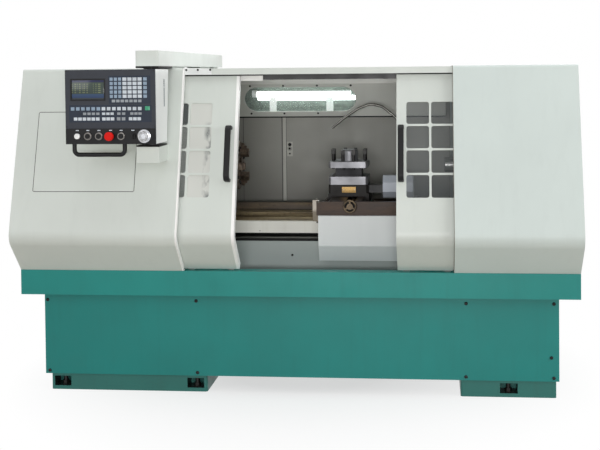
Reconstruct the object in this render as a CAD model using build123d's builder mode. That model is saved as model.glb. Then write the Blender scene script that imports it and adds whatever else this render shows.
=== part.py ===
from build123d import *
from math import cos, radians, sin
import os

os.makedirs("parts", exist_ok=True)

# Flat bed turning lathe with a half enclosed work area. Sizes are in millimetres.
# +X runs from the headstock to the tailstock, +Y from the operator to the back, +Z up from the floor.

# Shared by all pieces
machine_length = 2640
sheet = 3
overrun = 20
running_gap = 0.3
shaft_gap = 0.05
half_length = machine_length / 2

# Legs
leg_height = 477
leg_setback = 72
leg_depth = 880
leg_wall = 20
leg_radius = 12
left_leg_inset = 116
left_leg_length = 769
right_leg_inset = 104
right_leg_length = 444
foot_height = 80
pocket_width = 82
pocket_low_z = 18
pocket_height = 48
pocket_depth = 84
pad_margin = 14
left_pocket_inset = 57
right_pocket_inset = 224
jack_radius = 10
jack_gap = 1
jack_height = 58
jack_nut_width = 32
jack_nut_height = 16
left_leg_low_x = left_leg_inset - half_length
left_leg_high_x = left_leg_low_x + left_leg_length
right_leg_high_x = half_length - right_leg_inset
right_leg_low_x = right_leg_high_x - right_leg_length
pocket_high_z = pocket_low_z + pocket_height

# Chip tray
tray_front_y = -520
tray_depth = 1090
tray_height = 118
tray_sheet = 4
tray_rim = 60
tray_bottom_z = leg_height
tray_top_z = tray_bottom_z + tray_height
tray_floor_z = tray_bottom_z + tray_sheet
tray_rear_y = tray_front_y + tray_depth
leg_front_y = tray_front_y + leg_setback

# Front panel of the base
panel_setback = 61
panel_length = 2456
panel_clear = 1

# Outline of the front covers, seen from the end
shin_rise = 165
face_rise = 793
top_setback = 70
knee_overhang = 147
base_setback = 3
cover_depth = 1060
knee_radius = 75
top_radius = 14
cover_flange = 28
cover_return = 22
head_cover_length = 793
tail_cover_length = 577
knee_z = tray_top_z + shin_rise
cover_top_z = knee_z + face_rise
cover_rear_y = tray_front_y + cover_depth
head_cover_x = head_cover_length - half_length
tail_cover_x = half_length - tail_cover_length
top_edge_y = tray_front_y + top_setback
knee_y = tray_front_y - knee_overhang
cover_base_y = tray_front_y + base_setback
face_run = top_edge_y - knee_y
shin_run = cover_base_y - knee_y

# Access panel in the headstock cover
access_inset = 97
access_width = 488
access_rise = 219
access_z_span = 371
access_gap = 3
access_lap = 16
access_radius = 8
access_low_x = access_inset - half_length
access_high_x = access_low_x + access_width
access_low_z = knee_z + access_rise
access_high_z = access_low_z + access_z_span

# Bed
spindle_y = 0
bed_inset = 260
bed_end_gap = 180
bed_width = 400
bed_height = 309
bed_cap_width = 100
bed_cap_height = 60
bed_web_width = 26
bed_web_inset = 55
bed_foot_height = 50
bed_foot_width = 70
bed_rib = 22
bed_rib_count = 10
way_start = 660
way_width = 50
way_height = 12
way_inset = 45
screw_block_length = 40
screw_block_margin = 14
bed_low_x = bed_inset - half_length
bed_high_x = half_length - bed_end_gap
bed_top_z = tray_floor_z + bed_height
bed_front_y = spindle_y - bed_width / 2
bed_web_y = bed_front_y + bed_web_inset
way_low_x = bed_low_x + way_start
way_y = bed_front_y + way_inset

# Long screw that drives the carriage
long_screw_radius = 16
long_screw_inset = 15
long_screw_drop = 90
long_screw_start = 620
long_screw_tail = 24
long_nut_wall = 8
servo_width = 130
servo_length = 150
servo_bore_depth = 30
servo_flange = 12
servo_can_share = 0.86
long_screw_y = bed_front_y + long_screw_inset
long_screw_z = bed_top_z - long_screw_drop
long_screw_low_x = bed_low_x + long_screw_start
long_nut_radius = long_screw_radius + long_nut_wall

# Guards along the front of the bed
guard_stand = 70
guard_drop = 81
guard_lip = 14
screw_cover_stand = 23
screw_cover_height = 58
guard_y = bed_front_y - guard_stand
guard_top_z = bed_top_z - guard_drop
screw_cover_y = bed_front_y - screw_cover_stand
screw_cover_low_z = bed_top_z - screw_cover_height

# Headstock
centre_height = 260
head_length = 640
head_rise = 208
head_half_width = 190
head_wall = 26
head_radius = 24
front_bearing_outer_radius = 90
front_bearing_inner_radius = 60
front_bearing_length = 60
rear_bearing_outer_radius = 75
rear_bearing_inner_radius = 50
rear_bearing_length = 50
boss_wall = 24
boss_length = 50
bearing_inset = 6
spindle_z = bed_top_z + centre_height
head_low_x = bed_low_x
head_high_x = head_low_x + head_length
head_top_z = spindle_z + head_rise

# Spindle and its pulley
spindle_bore_radius = 40
pulley_stand = 40
pulley_length = 72
pulley_radius = 112
pulley_hub_radius = 49
groove_count = 3
groove_pitch = 21
groove_width = 17
groove_depth = 13
belt_side_gap = 1
belt_proud = 2
spindle_tail = 10
spindle_body_radius = 57
nose_radius = 84
nose_length = 16
nose_gap = 6
pulley_low_x = head_low_x - pulley_stand - pulley_length

# Chuck and jaws
chuck_radius = 125
chuck_length = 52
chuck_chamfer = 4
jaw_count = 3
jaw_first_angle = 60
jaw_width = 34
jaw_slot_depth = 22
jaw_slot_wall = 3
jaw_inner = 54
jaw_length = 65
jaw_side_gap = 0.1
jaw_proud = 40
jaw_step_depth = 13
jaw_step_length = 16
jaw_slot_inner = spindle_bore_radius + jaw_slot_wall
jaw_outer = jaw_inner + jaw_length

# Main motor and its pulley
motor_rise = 140
motor_radius = 115
motor_length = 330
motor_foot_width = 210
motor_foot_length = 220
motor_pulley_radius = 76
motor_shaft_radius = 19
motor_shaft_length = 60
motor_gap = 14
motor_fan_radius = 100
motor_fan_length = 50
shelf_thickness = 18
shelf_top_z = 150
belt_slot_margin = 22
motor_z = shelf_top_z + motor_rise

# Roof between the covers
roof_drop = 3
roof_front_setback = 75
roof_lip = 30
roof_top_z = cover_top_z - roof_drop
roof_front_y = tray_front_y + roof_front_setback

# Doors
door_setback = 35
door_width = 680
left_door_hidden = 418
right_door_out = 261
door_clear = 5
door_top_gap = 4
door_return = 35
pane_size = 105
pane_pitch = 115
pane_radius = 11
pane_columns = 2
pane_rows = 4
pane_rise = 408
left_pane_inset = 235
right_pane_inset = 156
glass_thickness = 5
glass_lap = 5
rail_thickness = 6
rail_clear = 13
rail_drop = 22
rail_notch = 2
hanger_wall = 4
hanger_gap = 0.5
hanger_height = 28
left_hanger_reach = 105
hanger_inset = 118
shoe_width = 26
shoe_inset = 40
shoe_height = 14
shoe_depth = 18
shoe_count = 2
shoe_pitch = 193
left_door_x = head_cover_x - left_door_hidden
left_door_high_x = left_door_x + door_width
right_door_x = tail_cover_x - right_door_out
door_low_z = tray_top_z + door_clear
door_high_z = roof_top_z - roof_lip - door_top_gap
pane_group_z = knee_z + pane_rise
left_pane_x = left_door_high_x - left_pane_inset
right_pane_x = right_door_x + right_pane_inset
rail_low_z = door_high_z - rail_drop

# Door handles
handle_bar = 27
handle_depth = 16
handle_standoff = 52
handle_length = 276
handle_rise = 388
handle_radius = 22
left_handle_inset = 38
right_handle_inset = 21
handle_centre_z = knee_z + handle_rise
left_handle_x = left_door_high_x - left_handle_inset
right_handle_x = right_door_x + right_handle_inset

# Rear wall and its door
rear_wall_inset = 60
rear_open_left = 355
rear_open_right = 53
rear_open_rise = 65
rear_open_height = 610
rear_door_lap = 18
rear_door_gap = 0.5
rear_door_return = 16
hinge_radius = 7
hinge_offset = 14
hinge_stand = 1
hinge_length = 80
hinge_count = 2
hinge_inset = 120
hinge_leaf = 4
lock_radius = 13
lock_depth = 8
lock_inset = 19
lock_rise = 440
rear_wall_y = cover_rear_y - rear_wall_inset
rear_open_low_x = head_cover_x + rear_open_left
rear_open_high_x = tail_cover_x - rear_open_right
rear_open_low_z = tray_top_z + rear_open_rise
rear_open_high_z = rear_open_low_z + rear_open_height
lock_x = rear_open_low_x + lock_inset
lock_z = rear_open_low_z + lock_rise

# Lamp
lamp_left_gap = 27
lamp_right_gap = 23
lamp_drop = 52
lamp_lip = 32
lamp_height = 212
lamp_depth = 180
lamp_lean = 50
lamp_window_length = 612
lamp_window_height = 138
lamp_window_place = 455
lamp_window_rise = 95
lens_thickness = 4
lens_lap = 14
tube_radius = 17
tube_length = 545
tube_setback = 40
tube_rise = 30
tube_cap_radius = 20
tube_cap_length = 26
clip_width = 38
clip_thickness = 6
clip_pitch = 316
lamp_low_x = head_cover_x + lamp_left_gap
lamp_high_x = tail_cover_x - lamp_right_gap
lamp_top_z = roof_top_z - lamp_drop
lamp_lip_z = lamp_top_z - lamp_lip
lamp_low_z = lamp_top_z - lamp_height
lamp_front_y = rear_wall_y - lamp_depth
lamp_window_x = head_cover_x + lamp_window_place
lamp_window_z = lamp_low_z + lamp_window_rise

# Carriage saddle
saddle_place_share = 0.6978
tail_end_gap = 340
saddle_length = 492
saddle_overhang = 152
saddle_depth = 597
saddle_height = 76
saddle_lift = 10
saddle_relief = 30
saddle_notch_margin = 14
saddle_chamfer = 6
saddle_wall = 30
cross_place = 138
ridge_half_width = 80
ridge_undercut = 10
ridge_height = 37
ridge_channel = 46
ridge_wall = 20
bracket_place = 242
bracket_length = 80
bracket_gap = 3
bracket_guard_gap = 6
bracket_front_gap = 4
tail_low_x = bed_high_x - tail_end_gap
saddle_low_x = head_high_x + (tail_low_x - head_high_x - saddle_length) * saddle_place_share
saddle_front_y = bed_front_y - saddle_overhang
saddle_top_z = bed_top_z + saddle_height
saddle_overhang_z = bed_top_z + saddle_lift
cross_x = saddle_low_x + cross_place
bracket_low_x = saddle_low_x + bracket_place
bracket_low_z = guard_top_z + bracket_gap
bracket_high_z = screw_cover_low_z - bracket_gap
bracket_back_y = guard_y - bracket_guard_gap

# Apron cover and wiper bracket
apron_stand = 18
apron_inset = 10
apron_length = 476
apron_drop = 29
apron_face = 145
apron_height = 222
apron_slope = 36
apron_bend_radius = 12
apron_back_gap = 8
wiper_width = 18
wiper_depth = 60
wiper_rise = 8
wiper_drop = 28
wiper_thickness = 4
wiper_hook = 14
apron_front_y = saddle_front_y - apron_stand
apron_low_x = saddle_low_x + apron_inset
apron_top_z = saddle_top_z - apron_drop
apron_bend_z = apron_top_z - apron_face
apron_low_z = apron_top_z - apron_height
wiper_top_z = saddle_top_z + ridge_height + wiper_rise

# Cross slide and its screw
cross_half_width = 103
cross_front_setback = 217
cross_depth = 260
cross_cover = 15
cross_screw_radius = 10
cross_screw_rise = 16
cross_screw_offset = 25
cross_nut_wall = 8
cross_nut_length = 60
cross_nut_place = 115
cross_servo_width = 110
cross_servo_length = 140
wheel_radius = 33
wheel_rim = 5
wheel_hub_radius = 10
wheel_hub_length = 14
wheel_spokes = 3
wheel_spoke_width = 7
wheel_spoke_thickness = 5
wheel_stand = 6
cross_front_y = saddle_front_y + cross_front_setback
cross_top_z = saddle_top_z + ridge_height + cross_cover
cross_screw_z = saddle_top_z + cross_screw_rise
cross_screw_x = cross_x + cross_screw_offset
cross_nut_radius = cross_screw_radius + cross_nut_wall
cross_nut_y = cross_front_y + cross_nut_place

# Tool turret
turret_place = 88
turret_size = 195
turret_base_height = 45
turret_plate = 40
turret_slot = 44
turret_cap_plate = 30
turret_core = 131
turret_chamfer = 10
dome_radius = 44
dome_height = 58
dome_fillet = 14
turret_base_width = 200
turret_base_depth = 176
tool_bolt_radius = 8
tool_bolt_gap = 0.2
tool_bolt_head = 17
tool_bolt_head_height = 24
tool_bolt_rise = 59
tool_bolt_pitch = 52
tool_bolt_inset = 17
tool_bolt_tip = 10
turret_turn_gap = 0.4
adapter_length = 74
adapter_width = 90
adapter_drop = 8
tool_motor_radius = 56
tool_motor_length = 156
tool_motor_sides = 8
tool_motor_drop = 17
tool_motor_radius_end = 8
turret_y = cross_front_y + turret_place
turret_low_z = cross_top_z + turret_base_height
adapter_high_z = turret_low_z - adapter_drop
tool_motor_z = turret_low_z - tool_motor_drop

# Coolant pipe
pipe_radius = 7
pipe_place_x = 396
pipe_place_y = 532
pipe_height = 492
pipe_reach = 368
pipe_reach_shares = [0, 0.07, 0.27, 0.44, 0.62, 0.82, 1]
pipe_height_shares = [0.74, 0.85, 0.97, 1, 0.95, 0.85, 0.74]
pipe_bend_radius = 70
pipe_socket_radius = 15
pipe_socket_height = 26
pipe_x = saddle_low_x + pipe_place_x
pipe_y = saddle_front_y + pipe_place_y

# Tailstock
tail_length = 280
tail_base_height = 84
tail_half_width = 150
tail_barrel_radius = 74
tail_neck_half_width = 66
quill_radius = 38
quill_out = 92
quill_length = 330
quill_bore_radius = 22
quill_bore_end_radius = 16
quill_bore_depth = 120
quill_chamfer = 3
tail_cap_length = 14

# Pendant arm and lower bracket
arm_inset = 629
arm_width = 106
arm_lift = 9
arm_height = 71
arm_front_reach = 190
arm_length = 1453
arm_pad_width = 70
arm_pad_length = 260
arm_pad_inset = 60
arm_end_pad_length = 100
arm_radius = 8
bracket_box_height = 73
arm_low_x = arm_inset - half_length
arm_low_z = cover_top_z + arm_lift
arm_front_y = tray_front_y - arm_front_reach
arm_rear_y = arm_front_y + arm_length

# Pendant
pendant_width = 416
pendant_inset = 3
pendant_height = 336
pendant_drop = 14
pendant_reach = 234
pendant_back_top = 1
pendant_back_low = 40
panel_thickness = 6
panel_split = 72
panel_groove = 2
panel_groove_depth = 1.5
screen_inset = 30
screen_width = 150
screen_rise = 202
screen_height = 88
screen_recess = 3
screen_radius = 4
louvre_count = 12
louvre_pitch = 10
louvre_length = 26
louvre_height = 3
louvre_rise = 178
louvre_setback = 154
pivot_inset = 57
pivot_reach = 120
pin_radius = 20
pin_length = 26
pin_boss_radius = 32
pin_boss_height = 24
collar_radius = 38
collar_gap = 1
collar_height = 15
grip_inset = 19
grip_length = 254
grip_drop = 60
grip_bar = 20
grip_bend = 22
grip_setback = 32
pendant_high_x = arm_low_x + arm_width - pendant_inset
pendant_low_x = pendant_high_x - pendant_width
pendant_high_z = arm_low_z - pendant_drop
pendant_low_z = pendant_high_z - pendant_height
pendant_front_y = tray_front_y - pendant_reach
pendant_back_top_y = tray_front_y + pendant_back_top
pendant_back_low_y = tray_front_y - pendant_back_low
panel_split_z = pendant_low_z + panel_split
screen_low_x = pendant_low_x + screen_inset
screen_high_x = screen_low_x + screen_width
screen_low_z = pendant_low_z + screen_rise
screen_high_z = screen_low_z + screen_height
louvre_low_z = pendant_low_z + louvre_rise
louvre_y = pendant_front_y + louvre_setback
pivot_x = arm_low_x + pivot_inset
pivot_y = tray_front_y - pivot_reach
grip_low_x = pendant_low_x + grip_inset
grip_y = pendant_front_y + grip_setback
bracket_box_high_z = pendant_low_z - collar_height - collar_gap
bracket_box_low_z = bracket_box_high_z - bracket_box_height

# Operators on the pendant
operator_rise = 36
power_inset = 54
power_radius = 12.5
power_height = 10
push_insets = [103, 154, 257]
push_radius = 11
push_height = 14
push_ring_radius = 16
push_ring_height = 7
stop_inset = 208
stop_stem_radius = 12
stop_head_radius = 20
stop_height = 36
stop_head_height = 16
selector_inset = 311
selector_radius = 13
selector_height = 18
selector_grip = 7
pulse_inset = 364
pulse_radius = 30
pulse_height = 22
pulse_skirt = 8
pulse_knob_radius = 5
pulse_knob_height = 12
pulse_stem_radius = 5
operator_depth = 20
operator_gap = 0.3
operator_z = pendant_low_z + operator_rise
power_x = pendant_low_x + power_inset
push_xs = [pendant_low_x + inset for inset in push_insets]
stop_x = pendant_low_x + stop_inset
selector_x = pendant_low_x + selector_inset
pulse_x = pendant_low_x + pulse_inset

# Electrical cabinet
cabinet_inset = 70
cabinet_width = 700
cabinet_drop = 3
cabinet_height = 910
cabinet_depth = 225
cabinet_lid = 15
cabinet_lid_inset = 26
cabinet_latch_radius = 14
cabinet_latch_height = 10
cabinet_slot_length = 150
cabinet_slot_height = 6
cabinet_slot_pitch = 16
cabinet_slot_count = 6
cabinet_low_x = cabinet_inset - half_length
cabinet_top_z = cover_top_z - cabinet_drop
cabinet_low_z = cabinet_top_z - cabinet_height


def keep(piece, name):
    """Name a finished piece and write it to its own file."""
    piece.part.label = name
    export_step(piece.part, f"parts/{name}.step")


def block(low, high, mode=Mode.ADD):
    """Box between two opposite corners."""
    middle = [(a + b) / 2 for a, b in zip(low, high)]
    sides = [b - a for a, b in zip(low, high)]
    with Locations(tuple(middle)):
        Box(*sides, mode=mode)


def across(x, y=0, z=0):
    """Plane that faces +X, with Y to the right and Z up."""
    return Plane(origin=(x, y, z), x_dir=(0, 1, 0), z_dir=(1, 0, 0))


def along(y, z):
    """Plane through an axis along X, with X to the right and Z up."""
    return Plane(origin=(0, y, z), x_dir=(1, 0, 0), z_dir=(0, -1, 0))


def front(y):
    """Plane that faces the operator, with X to the right and Z up."""
    return Plane(origin=(0, y, 0), x_dir=(1, 0, 0), z_dir=(0, -1, 0))


def face_y(z, setback=0):
    """Where the folded front of the covers stands at a height."""
    if z >= knee_z:
        return knee_y + setback + (z - knee_z) * face_run / face_rise
    return knee_y + setback + (knee_z - z) * shin_run / shin_rise


def slope(setback):
    """Plane on the sloping front above the knee, with its Y up along the slope."""
    return Plane(origin=(0, knee_y + setback, knee_z), x_dir=(1, 0, 0), z_dir=(0, -face_rise, face_run))


def up_slope(z):
    """Distance from the knee up the slope to a height."""
    return (z - knee_z) * (face_run**2 + face_rise**2) ** 0.5 / face_rise


# Legs, with a pocket round each levelling bolt
left_pockets_x = [
    left_leg_low_x + left_pocket_inset,
    left_leg_high_x - left_pocket_inset,
]
right_pockets_x = [right_leg_low_x + right_pocket_inset]
leg_rear_y = leg_front_y + leg_depth
leg_mid_y = (leg_front_y + leg_rear_y) / 2
pocket_pad = pocket_width / 2 + pad_margin
pocket_reach = pocket_depth + pad_margin
jack_ys = [leg_front_y + pocket_depth / 2, leg_rear_y - pocket_depth / 2]


def make_leg(low_x, high_x, pockets_x):
    """Hollow cast leg, open below, with bolt pockets at front and back."""
    with BuildPart() as leg:
        with BuildSketch():
            with Locations(((low_x + high_x) / 2, leg_mid_y)):
                RectangleRounded(high_x - low_x, leg_depth, leg_radius)
        extrude(amount=tray_bottom_z)
        with BuildSketch():
            with Locations(((low_x + high_x) / 2, leg_mid_y)):
                Rectangle(high_x - low_x - 2 * leg_wall, leg_depth - 2 * leg_wall)
        extrude(amount=tray_bottom_z - leg_wall, mode=Mode.SUBTRACT)
        for x in pockets_x:
            pad_low = max(x - pocket_pad, low_x + leg_wall / 2)
            pad_high = min(x + pocket_pad, high_x - leg_wall / 2)
            pocket_top = pocket_high_z + pad_margin
            block(
                (pad_low, leg_front_y + leg_wall / 2, 0),
                (pad_high, leg_front_y + pocket_reach, pocket_top),
            )
            block((pad_low, leg_rear_y - pocket_reach, 0), (pad_high, leg_rear_y - leg_wall / 2, pocket_top))
        for x in pockets_x:
            side = pocket_width / 2
            block(
                (x - side, leg_front_y - overrun, pocket_low_z),
                (x + side, leg_front_y + pocket_depth, pocket_high_z),
                Mode.SUBTRACT,
            )
            block(
                (x - side, leg_rear_y - pocket_depth, pocket_low_z),
                (x + side, leg_rear_y + overrun, pocket_high_z),
                Mode.SUBTRACT,
            )
        with BuildSketch():
            with Locations(*[(x, y) for x in pockets_x for y in jack_ys]):
                Circle(jack_radius + jack_gap)
        extrude(amount=pocket_low_z + jack_gap, mode=Mode.SUBTRACT)
    return leg


belt_half_y = pulley_radius + belt_slot_margin
belt_slot_low_x = pulley_low_x - belt_side_gap
belt_slot_high_x = pulley_low_x + pulley_length + belt_side_gap
motor_low_x = pulley_low_x + pulley_length + motor_gap

with BuildPart() as left_leg:
    add(make_leg(left_leg_low_x, left_leg_high_x, left_pockets_x).part)
    block(
        (motor_low_x, leg_front_y + leg_wall / 2, shelf_top_z - shelf_thickness),
        (left_leg_high_x - leg_wall / 2, leg_rear_y - leg_wall / 2, shelf_top_z),
    )
    block(
        (belt_slot_low_x, spindle_y - belt_half_y, tray_bottom_z - leg_wall - overrun),
        (belt_slot_high_x, spindle_y + belt_half_y, tray_bottom_z + overrun),
        Mode.SUBTRACT,
    )
keep(left_leg, "left_leg")

right_leg = make_leg(right_leg_low_x, right_leg_high_x, right_pockets_x)
keep(right_leg, "right_leg")

with BuildPart() as jack_bolts:
    for x in left_pockets_x + right_pockets_x:
        for y in jack_ys:
            with BuildSketch():
                with Locations((x, y)):
                    Circle(jack_radius)
            extrude(amount=jack_height)
            with BuildSketch(Plane.XY.offset(pocket_low_z)):
                with Locations((x, y)):
                    RegularPolygon(jack_nut_width / 2, 6)
            extrude(amount=jack_nut_height)
keep(jack_bolts, "jack_bolts")

# Front panel of the base, a shallow folded pan against both legs
panel_front_y = tray_front_y + panel_setback
panel_high_z = tray_bottom_z - panel_clear
with BuildPart() as base_front_panel:
    block((-panel_length / 2, panel_front_y, foot_height), (panel_length / 2, leg_front_y, panel_high_z))
    block(
        (sheet - panel_length / 2, panel_front_y + sheet, foot_height + sheet),
        (panel_length / 2 - sheet, leg_front_y + overrun, panel_high_z - sheet),
        Mode.SUBTRACT,
    )
keep(base_front_panel, "base_front_panel")

# Chip tray with a turned in rim and an opening for the belts
with BuildPart() as chip_tray:
    block((-half_length, tray_front_y, tray_bottom_z), (half_length, tray_rear_y, tray_top_z))
    block(
        (tray_sheet - half_length, tray_front_y + tray_sheet, tray_floor_z),
        (half_length - tray_sheet, tray_rear_y - tray_sheet, tray_top_z - tray_sheet),
        Mode.SUBTRACT,
    )
    block(
        (tray_rim - half_length, tray_front_y + tray_rim, tray_floor_z),
        (half_length - tray_rim, tray_rear_y - tray_rim, tray_top_z + overrun),
        Mode.SUBTRACT,
    )
    block(
        (belt_slot_low_x, spindle_y - belt_half_y, tray_bottom_z - overrun),
        (belt_slot_high_x, spindle_y + belt_half_y, tray_floor_z + overrun),
        Mode.SUBTRACT,
    )
keep(chip_tray, "chip_tray")

# Bed with two capped rails, cross ribs, a raised front way and bearing blocks for the long screw
cap_low_z = bed_top_z - bed_cap_height
rib_pitch = (bed_high_x - bed_low_x - bed_rib) / (bed_rib_count - 1)
block_half = long_screw_radius + screw_block_margin
screw_support_low_x = long_screw_low_x
screw_support_high_x = bed_high_x - screw_block_length

with BuildPart() as bed:
    with BuildSketch(across(bed_low_x)):
        for side in (-1, 1):
            rail_edge = spindle_y + side * bed_width / 2
            with Locations((rail_edge - side * bed_cap_width / 2, bed_top_z - bed_cap_height / 2)):
                Rectangle(bed_cap_width, bed_cap_height)
            web_mid = rail_edge - side * (bed_web_inset + bed_web_width / 2)
            with Locations((web_mid, (cap_low_z + tray_floor_z) / 2)):
                Rectangle(bed_web_width, cap_low_z - tray_floor_z)
            with Locations((web_mid, tray_floor_z + bed_foot_height / 2)):
                Rectangle(bed_foot_width, bed_foot_height)
    extrude(amount=bed_high_x - bed_low_x)
    for index in range(bed_rib_count):
        rib_x = bed_low_x + index * rib_pitch
        block(
            (rib_x, bed_web_y + bed_web_width / 2, tray_floor_z),
            (rib_x + bed_rib, spindle_y - bed_web_y - bed_web_width / 2, cap_low_z),
        )
    with BuildSketch(across(way_low_x)):
        with BuildLine():
            Polyline(
                (way_y - way_width / 2, bed_top_z - bed_cap_height / 2),
                (way_y - way_width / 2, bed_top_z),
                (way_y, bed_top_z + way_height),
                (way_y + way_width / 2, bed_top_z),
                (way_y + way_width / 2, bed_top_z - bed_cap_height / 2),
                close=True,
            )
        make_face()
    extrude(amount=bed_high_x - way_low_x)
    for x in (screw_support_low_x, screw_support_high_x):
        block(
            (x, long_screw_y - block_half, long_screw_z - block_half),
            (x + screw_block_length, bed_web_y + bed_web_width / 2, cap_low_z + bed_web_width / 2),
        )
    with BuildSketch(across(bed_low_x, long_screw_y, long_screw_z)):
        Circle(long_screw_radius + shaft_gap)
    extrude(amount=bed_high_x - bed_low_x + overrun, mode=Mode.SUBTRACT)
keep(bed, "bed")

# Guards in front of the long screw, with the slot for the nut bracket between them
with BuildPart() as bed_guard:
    block((head_cover_x, guard_y, tray_floor_z), (tail_cover_x, guard_y + sheet, guard_top_z))
    block((head_cover_x, guard_y, guard_top_z - sheet), (tail_cover_x, guard_y + guard_lip, guard_top_z))
keep(bed_guard, "bed_guard")

with BuildPart() as screw_cover:
    block(
        (long_screw_low_x, screw_cover_y, screw_cover_low_z),
        (bed_high_x, screw_cover_y + sheet, bed_top_z),
    )
    block(
        (long_screw_low_x, screw_cover_y, bed_top_z - sheet),
        (bed_high_x, bed_front_y, bed_top_z),
    )
keep(screw_cover, "screw_cover")

# Long screw, turned between its bearing blocks, and its servo motor
long_screw_high_x = bed_high_x + long_screw_tail
with BuildPart() as z_screw:
    with BuildSketch(across(long_screw_low_x, long_screw_y, long_screw_z)):
        Circle(long_screw_radius)
    extrude(amount=long_screw_high_x - long_screw_low_x)
    chamfer(z_screw.edges().filter_by(GeomType.CIRCLE), long_screw_radius / 8)
keep(z_screw, "z_screw")


def servo(plane, width, length, bore):
    """Square flanged servo motor with a smaller can, bored for the shaft it drives."""
    with BuildPart() as motor:
        with BuildSketch(plane):
            RectangleRounded(width, width, width / 12)
        extrude(amount=servo_flange)
        with BuildSketch(plane.offset(servo_flange)):
            RectangleRounded(width * servo_can_share, width * servo_can_share, width / 6)
        extrude(amount=length - servo_flange)
        with BuildSketch(plane):
            Circle(bore)
        extrude(amount=servo_bore_depth, mode=Mode.SUBTRACT)
    return motor


z_motor = servo(
    across(bed_high_x, long_screw_y, long_screw_z), servo_width, servo_length, long_screw_radius + running_gap
)
keep(z_motor, "z_motor")

# Headstock housing with bearing bosses at both ends
front_seat_x = head_high_x - bearing_inset - front_bearing_length
rear_seat_x = head_low_x + bearing_inset
with BuildPart() as headstock_housing:
    block(
        (head_low_x, spindle_y - head_half_width, bed_top_z),
        (head_high_x, spindle_y + head_half_width, head_top_z),
    )
    top_edges = headstock_housing.edges().filter_by(Axis.X).group_by(Axis.Z)[-1]
    fillet(top_edges, head_radius)
    block(
        (head_low_x + head_wall, spindle_y - head_half_width + head_wall, bed_top_z - overrun),
        (head_high_x - head_wall, spindle_y + head_half_width - head_wall, head_top_z - head_wall),
        Mode.SUBTRACT,
    )
    with BuildSketch(across(head_high_x - head_wall / 2, spindle_y, spindle_z)):
        Circle(front_bearing_outer_radius + boss_wall)
    extrude(amount=-(boss_length + head_wall))
    with BuildSketch(across(head_low_x + head_wall / 2, spindle_y, spindle_z)):
        Circle(rear_bearing_outer_radius + boss_wall)
    extrude(amount=boss_length + head_wall)
    with BuildSketch(across(head_low_x - overrun, spindle_y, spindle_z)):
        Circle(spindle_body_radius + boss_wall / 2)
    extrude(amount=head_high_x - head_low_x + 2 * overrun, mode=Mode.SUBTRACT)
    with BuildSketch(across(front_seat_x, spindle_y, spindle_z)):
        Circle(front_bearing_outer_radius)
    extrude(amount=front_bearing_length + overrun, mode=Mode.SUBTRACT)
    with BuildSketch(across(rear_seat_x + rear_bearing_length, spindle_y, spindle_z)):
        Circle(rear_bearing_outer_radius)
    extrude(amount=-(rear_bearing_length + overrun), mode=Mode.SUBTRACT)
keep(headstock_housing, "headstock_housing")

with BuildPart() as spindle_bearings:
    with BuildSketch(across(front_seat_x, spindle_y, spindle_z)):
        Circle(front_bearing_outer_radius - shaft_gap)
        Circle(front_bearing_inner_radius + shaft_gap, mode=Mode.SUBTRACT)
    extrude(amount=front_bearing_length)
    with BuildSketch(across(rear_seat_x, spindle_y, spindle_z)):
        Circle(rear_bearing_outer_radius - shaft_gap)
        Circle(rear_bearing_inner_radius + shaft_gap, mode=Mode.SUBTRACT)
    extrude(amount=rear_bearing_length)
keep(spindle_bearings, "spindle_bearings")


def pulley_outline(radius, low_x):
    """Corners of a grooved pulley rim from left to right."""
    corners = []
    first = low_x + pulley_length / 2 - (groove_count - 1) * groove_pitch / 2
    corners.append((low_x, radius))
    for index in range(groove_count):
        middle = first + index * groove_pitch
        corners.append((middle - groove_width / 2, radius))
        corners.append((middle - groove_width / 2, radius - groove_depth))
        corners.append((middle + groove_width / 2, radius - groove_depth))
        corners.append((middle + groove_width / 2, radius))
    corners.append((low_x + pulley_length, radius))
    return corners


# Spindle with its belt pulley and nose flange, turned in one outline
nose_x = head_high_x + nose_gap
chuck_back_x = nose_x + nose_length
chuck_face_x = chuck_back_x + chuck_length
pulley_high_x = pulley_low_x + pulley_length
spindle_low_x = pulley_low_x - spindle_tail
with BuildPart() as spindle:
    with BuildSketch(along(spindle_y, spindle_z)):
        with BuildLine():
            Polyline(
                (spindle_low_x, spindle_bore_radius),
                (spindle_low_x, pulley_hub_radius),
                (pulley_low_x, pulley_hub_radius),
                *pulley_outline(pulley_radius, pulley_low_x),
                (pulley_high_x, pulley_hub_radius),
                (rear_seat_x, pulley_hub_radius),
                (rear_seat_x, rear_bearing_inner_radius),
                (rear_seat_x + rear_bearing_length, rear_bearing_inner_radius),
                (rear_seat_x + rear_bearing_length, spindle_body_radius),
                (front_seat_x, spindle_body_radius),
                (front_seat_x, front_bearing_inner_radius),
                (nose_x, front_bearing_inner_radius),
                (nose_x, nose_radius),
                (chuck_back_x, nose_radius),
                (chuck_back_x, spindle_bore_radius),
                close=True,
            )
        make_face()
    revolve(axis=Axis((0, spindle_y, spindle_z), (1, 0, 0)))
keep(spindle, "spindle")

# Three jaw chuck
jaw_angles = [jaw_first_angle + 360 / jaw_count * index for index in range(jaw_count)]
slot_floor_x = chuck_face_x - jaw_slot_depth


def radial(angle):
    """Plane that holds the spindle axis and one radius, with the radius to the right and X up."""
    c = cos(radians(angle))
    s = sin(radians(angle))
    return Plane(origin=(0, spindle_y, spindle_z), x_dir=(0, c, s), z_dir=(0, s, -c))


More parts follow.
